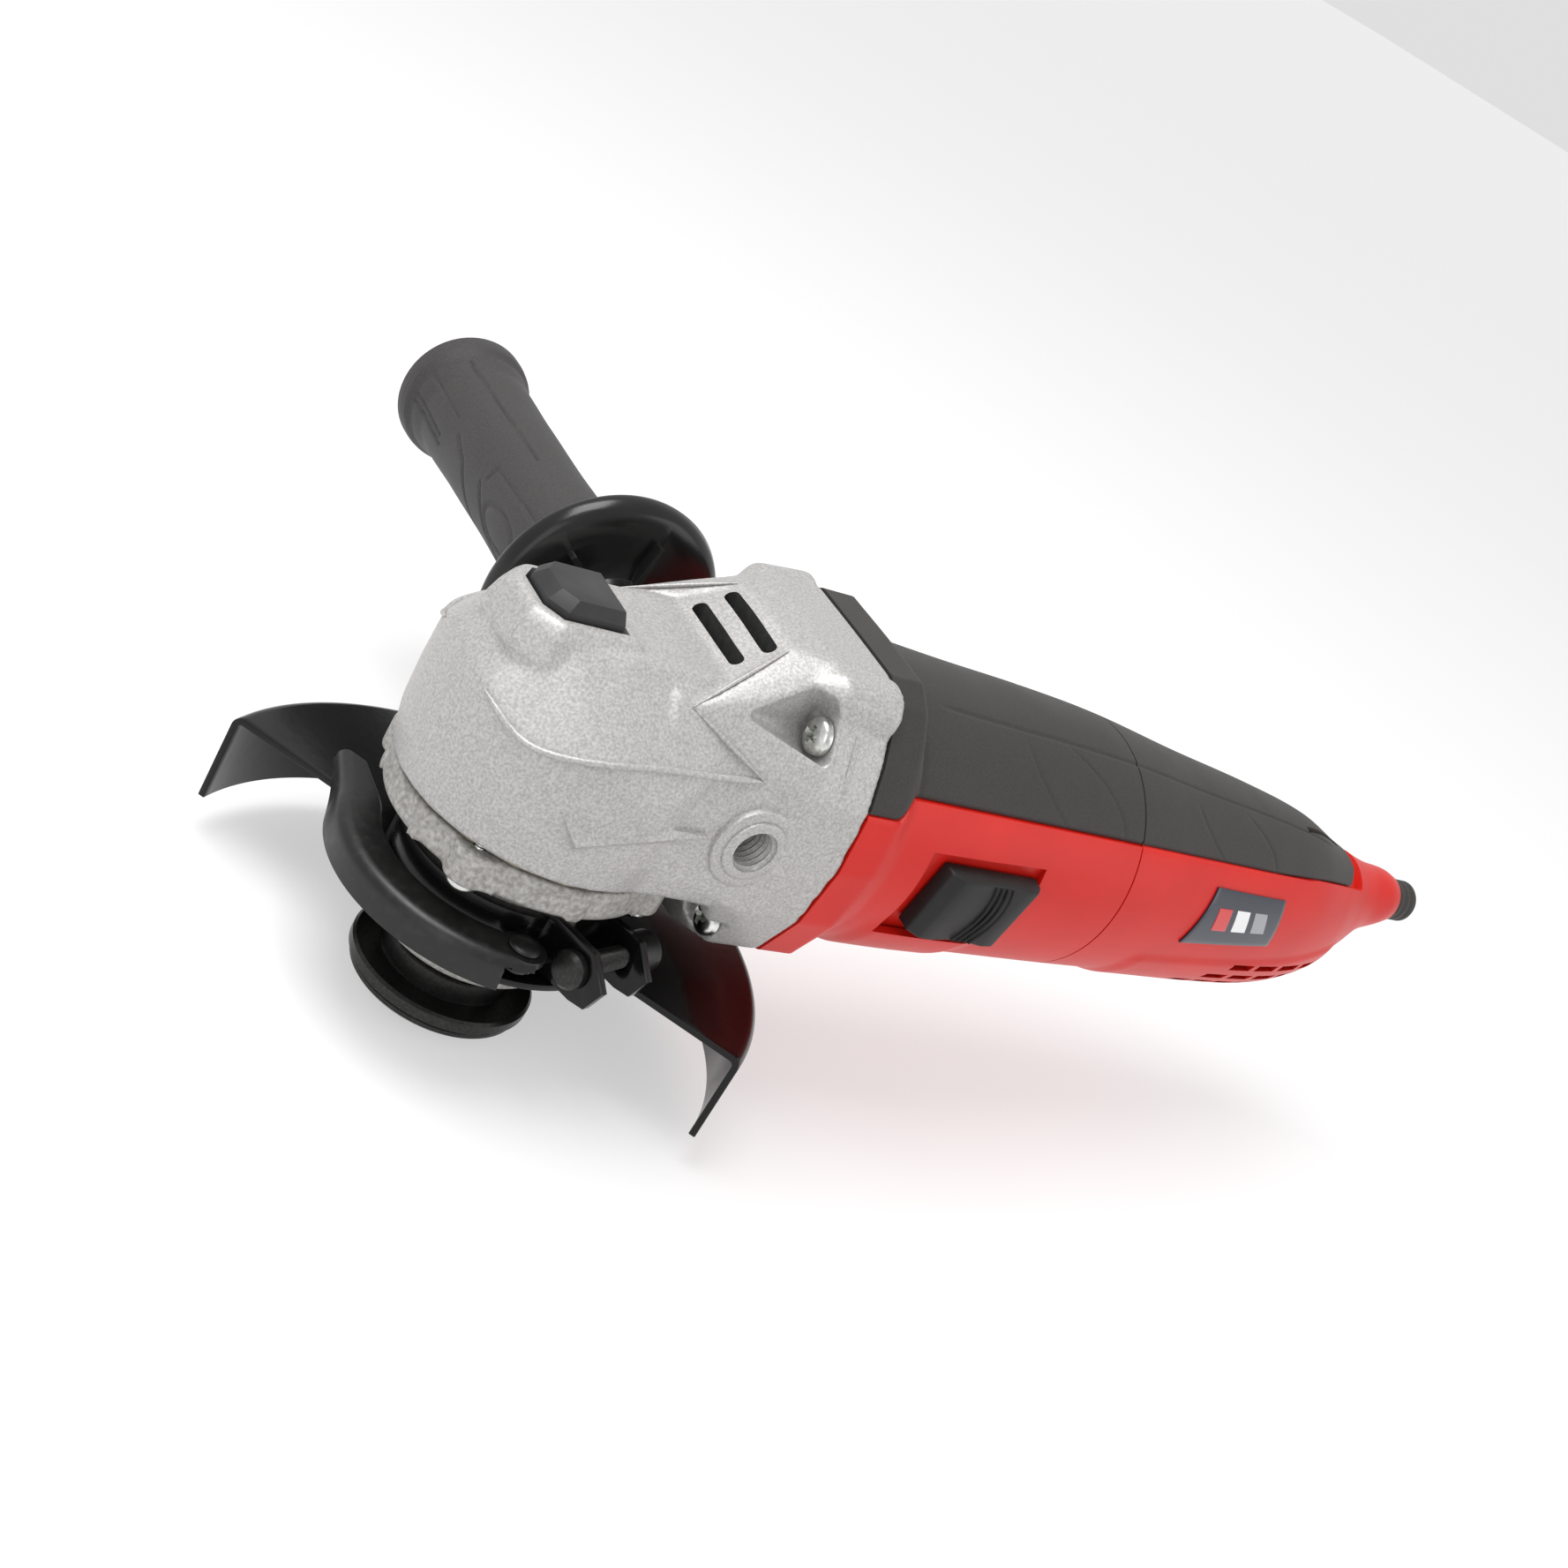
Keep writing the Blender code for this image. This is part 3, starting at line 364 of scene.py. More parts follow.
def blasted_aluminium():
    look, nodes, links, shader, where = finish_of("blasted_aluminium", (0.44, 0.43, 0.42), 0.42, 0.35)
    sparkle = grain(nodes, links, where, 1700, 2)
    links.new(between(nodes, links, sparkle, 0.34, 0.68, (0.34, 0.332, 0.324), (0.50, 0.49, 0.48)),
              shader.inputs["Base Color"])
    cloud = grain(nodes, links, where, 90, 4)
    spread = nodes.new("ShaderNodeMapRange")
    spread.inputs["To Min"].default_value = 0.36
    spread.inputs["To Max"].default_value = 0.52
    links.new(cloud, spread.inputs["Value"])
    links.new(spread.outputs["Result"], shader.inputs["Roughness"])
    roughened(nodes, links, shader, sparkle, 0.3, 0.00016)
    return look


ALUMINIUM = blasted_aluminium()
DRUM_WALL = [(32.2, HEAD_FLOOR), (33.6, -9), (33.9, 0), (33.6, 5.5)]
DRUM_TURNS = [radians(3 * step) for step in range(-38, 39)]
HIP_TOP = [(-14, 15, 27), (6, 14.5, 27), (18, 12, 26.4), (24.5, 5, 24)]
RIDGE = [(-26.3, 30.4, 15.0), (-14, 30.4, 14.0), (0, 30.4, 13.1), (11, 30.1, 11.6), (20.6, 26.6, 9.4),
         (26, 21.4, 8.9), (31.2, 12.6, 12.0), (33, 0, 13.6)]
RIDGE_STEPS = 6


def curve_through(points, steps=RIDGE_STEPS):
    """A smooth path through a few points."""
    points = [Vector(point) for point in points]
    ends = [points[0] * 2 - points[1]] + points + [points[-1] * 2 - points[-2]]
    path = []
    for before, start, stop, after in zip(ends, ends[1:], ends[2:], ends[3:]):
        for step in range(steps):
            t = step / steps
            bend = before * 2 - start * 5 + stop * 4 - after
            twist = start * 3 - before - stop * 3 + after
            path.append((start * 2 + (stop - before) * t + bend * t ** 2 + twist * t ** 3) / 2)
    return path + [points[-1]]


def bead(path, radius, sides=12):
    """A round bead laid along a path, drawn to a point at each end."""
    rings = []
    for number, point in enumerate(path):
        way = path[min(number + 1, len(path) - 1)] - path[max(number - 1, 0)]
        facing = way.to_track_quat("Z", "Y").to_matrix()
        reach = radius * min(1, 0.2 + 0.3 * min(number, len(path) - 1 - number))
        rings.append([point + facing @ Vector((reach * cos(a), reach * sin(a), 0))
                      for a in [2 * pi * n / sides for n in range(sides)]])
    return loft(rings)


def across(point, side):
    return Vector((point[0], point[1] * side, point[2]))


ridge_path = curve_through(RIDGE)
drum_points = [(radius * cos(turn), radius * sin(turn), z) for radius, z in DRUM_WALL for turn in DRUM_TURNS]
drum_points += [across(point, side) for side in (1, -1) for point in HIP_TOP + ridge_path[RIDGE_STEPS:]]
drum = hull(drum_points + [(-14, side * 30, HEAD_FLOOR) for side in (1, -1)])
neck = loft([station(-4, SADDLE), station(-17.5, RAMP_FOOT), station(-29.5, RAMP_HEAD), station(-38, RING),
             station(RING_X, RING)])
kerb_outline = [(-11.8, -11.6), (6.6, -11.6), (11.8, -6.4), (11.8, 6.4), (6.6, 11.6), (-11.8, 11.6)]
kerb = hull([(BUTTON_X + x * spread, y * spread, z) for x, y in kerb_outline
             for z, spread in ((20, 1.26), (26.4, 1.10), (28.8, 0.95))])
V_CORNER, V_UPPER, V_LOWER = (-7.3, 21.3, 23.1), (-28.3, 12.6, 35.6), (-25.2, 30.8, 15.2)
blocks, shoulders, wedges, bosses = [], [], [], []
for side in (1, -1):
    flange_edge = [(-38, y, z) for y, z in RING[1:6]]
    block_root = [(-38, 12.4, 38), (-38, 6, 20), (-28, 6, 20), (-12, 17, 18)]
    blocks.append(hull([across(point, side) for point in [V_CORNER, V_UPPER, V_LOWER] + flange_edge + block_root]))
    for radius, face in ((9.6, 33.5), (7.2, BOSS_FACE)):
        boss = turn([(0, 24), (radius, 24), (radius, face - 0.35), (radius - 0.35, face), (0, face)])
        bosses.append(shift(swing(lay_y(boss), "Z", 0 if side > 0 else 180), HANDLE_X, 0, HANDLE_Z))
    lump = ((RING_X, 20.6, 31.4, 6.9), (-38, 19.8, 31.5, 6.2), (-31, 16, 30, 4))
    shoulders.append(hull([(x, side * py, pz) for x, y, z, reach in lump
                           for py, pz in arc(y, z, reach, reach, 18, 20)]))
    wedge_face = [(15.6, 29.8, 0.4), (11, 34.8, -5.0), (10.2, 33.2, -6.8), (-17.5, 33.5, 1.8), (-17.5, 33.2, 0.8)]
    wedge_root = [(15.6, 24, 0.4), (11, 24, -5.0), (10.2, 24, -6.8), (-17.5, 24, 1.4)]
    wedges.append(hull([across(point, side) for point in wedge_face + wedge_root]))
gear_housing = as_object("gear_housing_casting", together(drum, neck, kerb, *blocks, *shoulders), ALUMINIUM)
melt(gear_housing, 0.75, 2)

# The pocket round each upper screw is a three-cornered hollow, framed by a V. The lower screws sit in
# square notches. The hollows' edges are rounded like the rest; beads, wedges and bosses stand crisp.
POCKET_FLOOR = -38.2
POCKET_MOUTH = [(-17.6, 22.9, 24.9), (-16.5, 31, 32.5), (-32.6, 20.2, 33.0), (-32.6, 30, 43),
                (POCKET_FLOOR, 42, 27), (POCKET_FLOOR, 32.4, 21.2)]
pockets = []
for side in (1, -1):
    rim = [(POCKET_FLOOR, y, z) for y, z in arc(FIXING_Y, FIXING_Z, 5.6, 5.6, 18, 20)]
    pockets.append(hull([across(point, side) for point in rim + POCKET_MOUTH]))
    pockets.append(box((-38, min(side * 20.4, side * 40), -40), (-27.2, max(side * 20.4, side * 40), -21.3)))
    pockets.append(shift(lay_x(rod(5.2, -38, -27.2)), 0, side * FIXING_Y, -FIXING_Z))
carve(gear_housing, "DIFFERENCE", *pockets)
melt(gear_housing, 0.7, 2)
beads = []
for side in (1, -1):
    flange_bead = curve_through([(-43.5, 26.4, 28.9), (-43.5, 29.4, 23.4), (-43.5, 33, 14)], 4)
    for path, radius in ((ridge_path[:-RIDGE_STEPS], 0.72), (curve_through([V_UPPER, V_CORNER], 8), 0.45),
                         (curve_through([V_CORNER, V_LOWER], 8), 0.5), (flange_bead, 0.7)):
        beads.append(bead([across(point, side) for point in path], radius))
carve(gear_housing, "UNION", *beads, *wedges, *bosses)

# Inside it holds the gears and the pinion's bearing. These faces are machined, so their edges stay crisp.
gear_room = rod(26, HEAD_FLOOR - 3, 11, 96)
bearing_seat = lay_x(rod(13.3, -42, -23.7))
passage = lay_x(rod(8.4, -26, 2))
fan_bell = lay_x(rod(30, RING_X - 1, -40, 96))
duct = box((-46, -12.9, 15.7), (-14.7, 12.9, 25.4))
duct_roof = box((-46, -11.5, 24), (-24.6, 11.5, 31))
slots = [soft_slot(x, 10.9, 2.7) for x in (-21.6, -27.4)]
well_outline = [(-9.2, -9.3), (6, -9.3), (9.3, -5), (9.3, 5), (6, 9.3), (-9.2, 9.3)]
well = hull([(BUTTON_X + x, y, z) for x, y in well_outline for z in (19.4, 31)])
bush_seat = rod(6.5, 5, 18.9)
spring_seat = shift(rod(2.6, 11.8, 25), LOCK_PIN_X, 0, 0)
pin_hole = shift(rod(2, 5, 12.5), LOCK_PIN_X, 0, 0)
carve(gear_housing, "DIFFERENCE", gear_room, bearing_seat, passage, fan_bell, duct, duct_roof, *slots, well,
      bush_seat, spring_seat, pin_hole)
THREAD_PITCH = 1.5
for side in (1, -1):
    crests = [(HANDLE_HOLE + 0.55 * (step % 2), 19.5 + THREAD_PITCH / 2 * step) for step in range(19)]
    socket = swing(lay_y(turn([(0, 19.5), *crests, (4.6, 33.2), (5.0, 33.9), (5.0, 36), (0, 36)])), "Z",
                   0 if side > 0 else 180)
    carve(gear_housing, "DIFFERENCE", shift(socket, HANDLE_X, 0, HANDLE_Z))
    carve(gear_housing, "DIFFERENCE", *[shift(lay_x(rod(2.3, -54, -36)), 0, side * FIXING_Y, level * FIXING_Z)
                                        for level in (1, -1)])
shade(gear_housing, 50)

# The duct stays as cast, but its inner faces and the slots' side walls take a nearly black finish: painted shade
# for the shadow inside the duct behind the slots.


# A nearly black finish with a faint mottle, used as painted shade.
def painted_shade_black(name):
    look, nodes, links, shader, where = finish_of(name, (0.012, 0.012, 0.012), 0.9)
    links.new(between(nodes, links, grain(nodes, links, where, 500), 0.3, 0.7, (0.006, 0.006, 0.006),
                      (0.022, 0.021, 0.020)), shader.inputs["Base Color"])
    return look


gear_housing.data.materials.append(painted_shade_black("duct_painted_shade"))
# Painted shade: faces inside the duct and on the slots' side walls take the near-black finish instead of the
# aluminium, which would be in shadow there.
for face in gear_housing.data.polygons:
    x, y, z = face.center / MM
    z -= MOTOR_AXIS_MM
    in_duct = -47 < x < -14.6 and abs(y) < 13 and 15.6 < z < 31.1 and (z < 25.5 or x < -24.5)
    in_slot = -29.5 < x < -19.5 and abs(y) < 11.3 and 20 < z < 35.5 and abs(face.normal.z) < 0.3
    if in_duct or in_slot:
        face.material_index = 1
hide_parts("gear_housing")
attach(gear_housing, "housing")

# ---- Bearing cap
# The rough casting under the head. It seats the spindle's bearing, carries the collar that the guard
# clamps on, and four screws hold it; its sides are left as cast, coarser than the head.
CAP_FIXING = 20.4
COLLAR_RADIUS = 21.0


def grained(name, colour, roughness, metallic, grain_size, spread, dark, light, relief):
    """A finish with one grain, which colours it from dark to light and also raises it."""
    look, nodes, links, shader, where = finish_of(name, colour, roughness, metallic)
    pattern = grain(nodes, links, where, *grain_size)
    links.new(between(nodes, links, pattern, *spread, dark, light), shader.inputs["Base Color"])
    roughened(nodes, links, shader, pattern, *relief)
    return look


CAP_METAL = grained("rough_casting", (0.36, 0.35, 0.33), 0.5, 0.4, (900, 5), (0.34, 0.72), (0.24, 0.23, 0.215),
                    (0.46, 0.45, 0.43), (0.28, 0.00022))
cap_disc = turn([(0, -17.6), (30.6, -17.6), (31, -18.2), (31, -24.4), (29.6, -25.5), (0, -25.5)])
lobes = [shift(rod(5.0, -25.7, -18), sx * CAP_FIXING, sy * CAP_FIXING, 0) for sx in (1, -1) for sy in (1, -1)]
webs = [swing(box((24, -1.4, -25.2), (31.6, 1.4, -18.4)), "Z", 20 + 35 * step) for step in range(10)]
bearing_cap = as_object("bearing_cap_casting", together(cap_disc, *lobes, *webs), CAP_METAL)
melt(bearing_cap, 0.6, 3)
collar = turn([(9.8, -24), (COLLAR_RADIUS, -24), (COLLAR_RADIUS, -31), (20.5, -31.4), (20.5, -33.4),
               (COLLAR_RADIUS, -33.8), (COLLAR_RADIUS, -52), (19.6, -53.4), (9.8, -53.4)])
carve(bearing_cap, "UNION", collar, turn([(16.2, -13.5), (25.6, -13.5), (25.6, -19), (16.2, -19)]))
carve(bearing_cap, "DIFFERENCE", rod(9.8, -60, -10), rod(16.2, -28.5, -10),
      *[shift(rod(2, -40, -10, 24), sx * CAP_FIXING, sy * CAP_FIXING, 0) for sx in (1, -1) for sy in (1, -1)])
shade(bearing_cap, 45)
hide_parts("bearing_cap")
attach(bearing_cap, "housing")

# ---- Screws
# Ten pan-head screws with a cross recess, cold headed in steel and zinc plated: four through the head's
# flange, four under the cap and two in the rear housing.

ZINC = grained("zinc_plating", (0.66, 0.67, 0.65), 0.24, 1.0, (700, 3), (0.3, 0.75), (0.52, 0.53, 0.50),
               (0.78, 0.79, 0.77), (0.08, 0.0001))


def pan_screw(name, place_mm, turn_axis, turn_angle, size):
    """A screw, given its seat and its size: head radius and height, shank radius and length."""
    head_radius, head_height, shank, length = size
    dome = arc(0, 0.32 * head_height, head_radius, 0.68 * head_height, 9, -10, 80)
    outline = [(0, head_height)] + dome + [(head_radius, 0), (shank, 0)]
    outline += [(shank - 0.22 * (n % 2), -0.5 - 0.4 * n) for n in range(int((length - 1) / 0.4))]
    outline += [(shank - 0.6, -length), (0, -length)]
    screw = as_object(name, turn(outline, 40), ZINC)
    bring_back(screw)
    arm, deep = head_radius * 0.62, head_height * 0.42
    cross = []
    for flat in ((arm, head_radius * 0.17), (head_radius * 0.17, arm)):
        cross.append(hull([(sx * flat[0] * s, sy * flat[1] * s, z) for sx in (1, -1) for sy in (1, -1)
                           for s, z in ((1.0, head_height + 0.5), (0.55, deep))]))
    for cutter in cross:
        bmesh.ops.translate(cutter, verts=cutter.verts, vec=(0, 0, -MOTOR_AXIS_MM))
        carve(screw, "DIFFERENCE", cutter)
    spot = Matrix.Translation((Vector(place_mm) + Vector((0, 0, MOTOR_AXIS_MM))) * MM)
    screw.data.transform(spot @ Matrix.Rotation(radians(turn_angle), 4, turn_axis))
    shade(screw, 30)
    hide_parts(name.replace("_part", ""))
    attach(screw, "housing")
    return screw


def bring_back(obj):
    """Lowers a mesh to its own origin, before it is turned to its place."""
    obj.data.transform(Matrix.Translation((0, 0, -MOTOR_AXIS_MM * MM)))


for side, word in ((1, "left"), (-1, "right")):
    for level, rank in ((1, "upper"), (-1, "lower")):
        pan_screw(f"housing_screw_{word}_{rank}_part", (-37.7, side * FIXING_Y, level * FIXING_Z), "Y", 90,
                  (4.2, 2.8, 1.9, 24))
    for end, rank in ((1, "front"), (-1, "rear")):
        pan_screw(f"cap_screw_{rank}_{word}_part", (end * CAP_FIXING, side * CAP_FIXING, -25.8), "X", 180,
                  (3.6, 2.6, 1.7, 18))
for level, rank in ((1, "upper"), (-1, "lower")):
    pan_screw(f"rear_housing_screw_{rank}_part", (-145.5, -27.9, level * 7), "X", 90, (3.4, 2.0, 1.5, 6.5))

# ---- Motor housing and rear housing
# Two glass-filled nylon shells, moulded in satin red and parted by a seam. The front one holds the motor
# and the switch recess; the rear one tapers to the cord and has three stepped rows of air slots.
SEAM_X, TAIL_X = -139.6, -270.0
SKIN = 1.6
SHELL_WALL = 2.2
SWITCH_TILT = -9.0
SWITCH_FLOOR = 28.9
SECTIONS = [(-66, 33.4, 34.4, 34.2), (-90, 33, 32.9, 34.2), (-115, 32, 31.8, 33.6), (-139.6, 31, 29.9, 33),
            (-170, 28.3, 25.8, 32.4), (-200, 25.2, 22.2, 32), (-222, 21.6, 18.6, 31), (-238, 17.2, 13.4, 27),
            (-249, 12.6, 10.4, 20.5), (-257, 9.6, 8.8, 12.5), (-266, 8.2, 8, 8.2), (-270, 6.9, 6.9, 6.9)]


def eased(share):
    share = min(max(share, 0.0), 1.0)
    return share * share * (3 - 2 * share)


def section_at(x):
    """Half width, top and bottom of the body at x, on a smooth curve through the sections."""
    x = min(max(x, SECTIONS[-1][0]), SECTIONS[0][0])
    for index in range(len(SECTIONS) - 1):
        if x >= SECTIONS[index + 1][0]:
            break
    near, far = SECTIONS[index], SECTIONS[index + 1]
    before = SECTIONS[max(index - 1, 0)]
    after = SECTIONS[min(index + 2, len(SECTIONS) - 1)]
    span = far[0] - near[0]
    share = (x - near[0]) / span
    found = []
    for item in (1, 2, 3):
        slope_near = (far[item] - before[item]) / (far[0] - before[0]) * span
        slope_far = (after[item] - near[item]) / (after[0] - near[0]) * span
        cube, square = share ** 3, share ** 2
        found.append((2 * cube - 3 * square + 1) * near[item] + (cube - 2 * square + share) * slope_near
                     + (3 * square - 2 * cube) * far[item] + (cube - square) * slope_far)
    return found


def oval_reach(x, angle):
    half_width, top, bottom = section_at(x)
    middle, half_height = (top - bottom) / 2, (top + bottom) / 2
    c, s, m = cos(angle) / half_width, sin(angle) / half_height, middle / half_height
    a, b = c * c + s * s, s / half_height * middle
    return (b + sqrt(b * b - a * (m * m - 1))) / a


RING_CORNERS = [Vector(point) for point in mirrored(RING)]


def ring_reach(angle):
    """Distance to the flange's many-sided outline."""
    way = Vector((cos(angle), sin(angle)))
    found = 0.0
    for first, second in zip(RING_CORNERS, RING_CORNERS[1:] + RING_CORNERS[:1]):
        edge = second - first
        across = way.cross(edge)
        if abs(across) < 1e-9:
            continue
        distance, spot = first.cross(edge) / across, first.cross(way) / across
        if distance > 0 and -1e-6 <= spot <= 1 + 1e-6:
            found = max(found, distance)
    return found


def body_reach(x, angle):
    """Radius of the body's outside: many-sided at the flange, oval behind it."""
    blend = eased((-60.5 - x) / 6.5)
    if blend <= 0:
        return ring_reach(angle)
    return ring_reach(angle) * (1 - blend) + oval_reach(x, angle) * blend


def skin_line(x):
    """Angle above the side at which the soft skin begins; it steps up behind the flange's collar."""
    if x > -60:
        low = 22.5
    else:
        low = 22.5 + 9 * eased((-60 - x) / 5)
    return radians(low + 3 * eased((-195 - x) / 42))


def swell(x, angle):
    """Small bulges of the red shell: a bead under the switch and a pad round the air slots."""
    degrees_round = degrees(angle) % 360


    def rise(value, low, low_ease, high, high_ease):
        return eased((value - low) / low_ease) * eased((high - value) / high_ease)

    under_switch = 0.9 * rise(x, -108, 6, -71, 6) * rise(degrees_round, 288, 14, 340, 12)
    pad_round = max(rise(degrees_round, 285, 6, 334, 5), rise(degrees_round, 206, 5, 255, 6))
    return under_switch + 0.8 * rise(x, -246, 6, -158, 6) * pad_round


def sheet_round(x_from, x_to, x_steps, turn_from, turn_to, turn_steps, radius_at):
    """A curved sheet over the body: a grid whose rows run along it and whose columns run round it."""
    build = bmesh.new()
    whole = abs(turn_to(x_from) - turn_from(x_from) - 2 * pi) < 1e-6
    grid = bmesh.ops.create_grid(build, x_segments=x_steps, y_segments=turn_steps, size=0.5)
    for vert in grid["verts"]:
        share_x, share_turn = vert.co.x + 0.5, vert.co.y + 0.5
        x = x_from + (x_to - x_from) * share_x
        angle = turn_from(x) + (turn_to(x) - turn_from(x)) * share_turn
        radius = radius_at(x, angle)
        vert.co = (x, radius * cos(angle), radius * sin(angle))
    if whole:
        bmesh.ops.remove_doubles(build, verts=build.verts, dist=1e-3)
    bmesh.ops.recalc_face_normals(build, faces=build.faces)
    middle = build.faces[:][len(build.faces) // 2]
    outward = Vector((0, middle.calc_center_median().y, middle.calc_center_median().z))
    if middle.normal.dot(outward) < 0:
        bmesh.ops.reverse_faces(build, faces=build.faces)
    return build


def thicken(obj, wall):
    wall_step = obj.modifiers.new("wall", "SOLIDIFY")
    wall_step.thickness = wall * MM
    wall_step.offset = -1
    return settle(obj)


def red_reach(x, angle):
    """The hard shell is sunk under the skin, and stands level with it elsewhere."""
    line = skin_line(x)
    folded = angle if angle <= pi / 2 + pi else angle - 2 * pi
    above = min(folded - line, pi - line - folded)
    under_skin = eased(above / radians(2.0) + 0.5) if x > -247 else 0.0
    return body_reach(x, angle) + swell(x, angle) - (SKIN + 0.1) * under_skin


def red_nylon():
    look, nodes, links, shader, where = finish_of("red_nylon", (0.56, 0.010, 0.005), 0.38)
    cloud = grain(nodes, links, where, 60, 4)
    links.new(between(nodes, links, cloud, 0.3, 0.7, (0.53, 0.009, 0.005), (0.59, 0.012, 0.006)),
              shader.inputs["Base Color"])
    sparks = grain(nodes, links, where, 2600, 2)
    roughened(nodes, links, shader, sparks, 0.10, 0.00012)
    shader.inputs["Specular IOR Level"].default_value = 0.3
    return look


RED = red_nylon()


def from_start(x):
    return -pi / 2


def to_end(x):
    return 3 * pi / 2


FRONT_EDGE, SEAM_FRONT, SEAM_REAR = RING_X - 0.3, SEAM_X + 0.25, SEAM_X - 0.25
front_sheet = sheet_round(FRONT_EDGE, SEAM_FRONT, 150, from_start, to_end, 260, red_reach)
motor_housing = thicken(as_object("motor_housing_shell", front_sheet, RED), SHELL_WALL)
recess = swing(box((-110.2, SWITCH_FLOOR - 4, -12.4), (-75.3, 45, 12.4)), "X", SWITCH_TILT)
carve(motor_housing, "DIFFERENCE", recess)
floor_plate = swing(box((-112, SWITCH_FLOOR - 3, -14), (-73.5, SWITCH_FLOOR, 14)), "X", SWITCH_TILT)
recess_pan = as_object("switch_recess_pan", floor_plate, RED)
soften(recess_pan, 0.4)
shade(recess_pan)
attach(recess_pan, "housing")
shade(motor_housing, 40)
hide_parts("motor_housing")
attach(motor_housing, "housing")

rear_sheet = sheet_round(SEAM_REAR, TAIL_X, 210, from_start, to_end, 220, red_reach)
rear_housing = thicken(as_object("rear_housing_shell", rear_sheet, RED), SHELL_WALL)
vents = []
for level, front, back in ((-15.2, -199, -243), (-20.2, -194, -238), (-25.2, -188, -224)):
    pitch = (front - back) / 4
    for number in range(4):
        x = front - number * pitch
        for side in (1, -1):
            low, high = sorted((side * 5.0, side * 40.0))
            vents.append(box((x - pitch * 0.80, low, level - 1.2), (x, high, level + 1.2)))
for vent in vents:
    carve(rear_housing, "DIFFERENCE", vent)
shade(rear_housing, 40)
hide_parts("rear_housing")
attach(rear_housing, "housing")

# ---- Soft overmould
# Black thermoplastic rubber moulded over the top of both shells, 1.6 mm thick, with a fine spark-eroded
# grain. The front one starts in a many-sided collar; the rear one has two slots that show the red below.
OVERMOULD_ENDS = -244.0


def soft_rubber(name="soft_rubber", colour=(0.026, 0.024, 0.023), lighter=(0.038, 0.035, 0.033), scale=2400):
    look, nodes, links, shader, where = finish_of(name, colour, 0.62)
    pits = grain(nodes, links, where, scale, 3)
    links.new(between(nodes, links, pits, 0.35, 0.7, colour, lighter), shader.inputs["Base Color"])
    shade_spread = nodes.new("ShaderNodeMapRange")
    shade_spread.inputs["To Min"].default_value = 0.52
    shade_spread.inputs["To Max"].default_value = 0.72
    links.new(grain(nodes, links, where, 80, 4), shade_spread.inputs["Value"])
    links.new(shade_spread.outputs["Result"], shader.inputs["Roughness"])
    roughened(nodes, links, shader, pits, 0.3, 0.00012)
    shader.inputs["Specular IOR Level"].default_value = 0.35
    shader.inputs["Sheen Weight"].default_value = 0.04
    shader.inputs["Sheen Roughness"].default_value = 0.5
    return look


RUBBER = soft_rubber()


def groove(distance, half_width, depth):
    return -depth * eased(1 - abs(distance) / half_width) if abs(distance) < half_width else 0.0


def skin_form(x, angle):
    """Height of the skin's own relief: the collar's edge, and curved grooves on each flank."""
    flank = abs(degrees(angle) - 90)
    relief = groove(x + 66.2, 1.2, 0.45)
    relief += groove(x - (-100 - 0.010 * (flank - 22) ** 2), 0.9, 0.30) * eased((flank - 24) / 8)
    relief += groove(x - (-133 + 0.012 * (62 - flank) ** 2), 0.9, 0.30) * eased((flank - 20) / 8)
    relief += groove(x - (-163 - 0.010 * (flank - 26) ** 2), 0.9, 0.30) * eased((flank - 28) / 8)
    relief += groove(x - (-196 + 0.010 * (60 - flank) ** 2), 0.9, 0.30) * eased((flank - 24) / 8)
    relief += groove(flank - 21, 1.6, 0.35) * eased((-72 - x) / 6) * eased((x + 232) / 8)
    return relief


def skin_reach(x, angle):
    line = skin_line(x)
    above = min(angle - line, pi - line - angle)
    edge = eased(above / radians(1.8))
    ends = min(eased((x - OVERMOULD_ENDS) / 1.6), 1.0)
    return body_reach(x, angle) - 0.75 + (0.75 + skin_form(x, angle)) * edge * ends


def skin_from(x):
    return skin_line(x) + radians(0.3) + radians(30) * eased((-236 - x) / 8) ** 2


def skin_to(x):
    return pi - skin_from(x)


for name, x_from, x_to, steps in (("motor_overmould", FRONT_EDGE, SEAM_FRONT, 170),
                                  ("rear_overmould", SEAM_REAR, OVERMOULD_ENDS, 190)):
    sheet = sheet_round(x_from, x_to, steps, skin_from, skin_to, 190, skin_reach)
    skin = thicken(as_object(name + "_skin", sheet, RUBBER), SKIN)
    if name == "rear_overmould":
        for side in (1, -1):
            tail_slot = swing(box((-11, -0.8, 5), (11, 0.8, 40)), "Z", side * 13)
            carve(skin, "DIFFERENCE", shift(tail_slot, -226, side * 3.6, 0))
    shade(skin, 50)
    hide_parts(name)
    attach(skin, "housing")

# ---- Switch
# A sliding thumb switch in hard black nylon. Pushed forward it starts the motor; four bowed ribs near its
# back keep the thumb from slipping. It rides on the slider's body, in a recess of the motor housing.
SLIDER_HALF = 9.4


def black_nylon(name, colour, roughness, coat=0.0):
    look, nodes, links, shader, where = finish_of(name, colour, roughness)
    cloud = grain(nodes, links, where, 120, 5)
    lighter = tuple(value * 1.7 for value in colour)
    links.new(between(nodes, links, cloud, 0.3, 0.75, colour, lighter), shader.inputs["Base Color"])
    roughened(nodes, links, shader, grain(nodes, links, where, 2200, 2), 0.2, 0.0001)
    shader.inputs["Specular IOR Level"].default_value = 0.3
    shader.inputs["Coat Weight"].default_value = coat
    shader.inputs["Coat Roughness"].default_value = 0.2
    return look


BLACK_NYLON = black_nylon("black_nylon", (0.010, 0.0095, 0.0095), 0.5)


def extruded(outline, low, high):
    """An outline of (x, y) raised along Z."""
    return loft([[(x, y, z) for x, y in outline] for z in (low, high)])


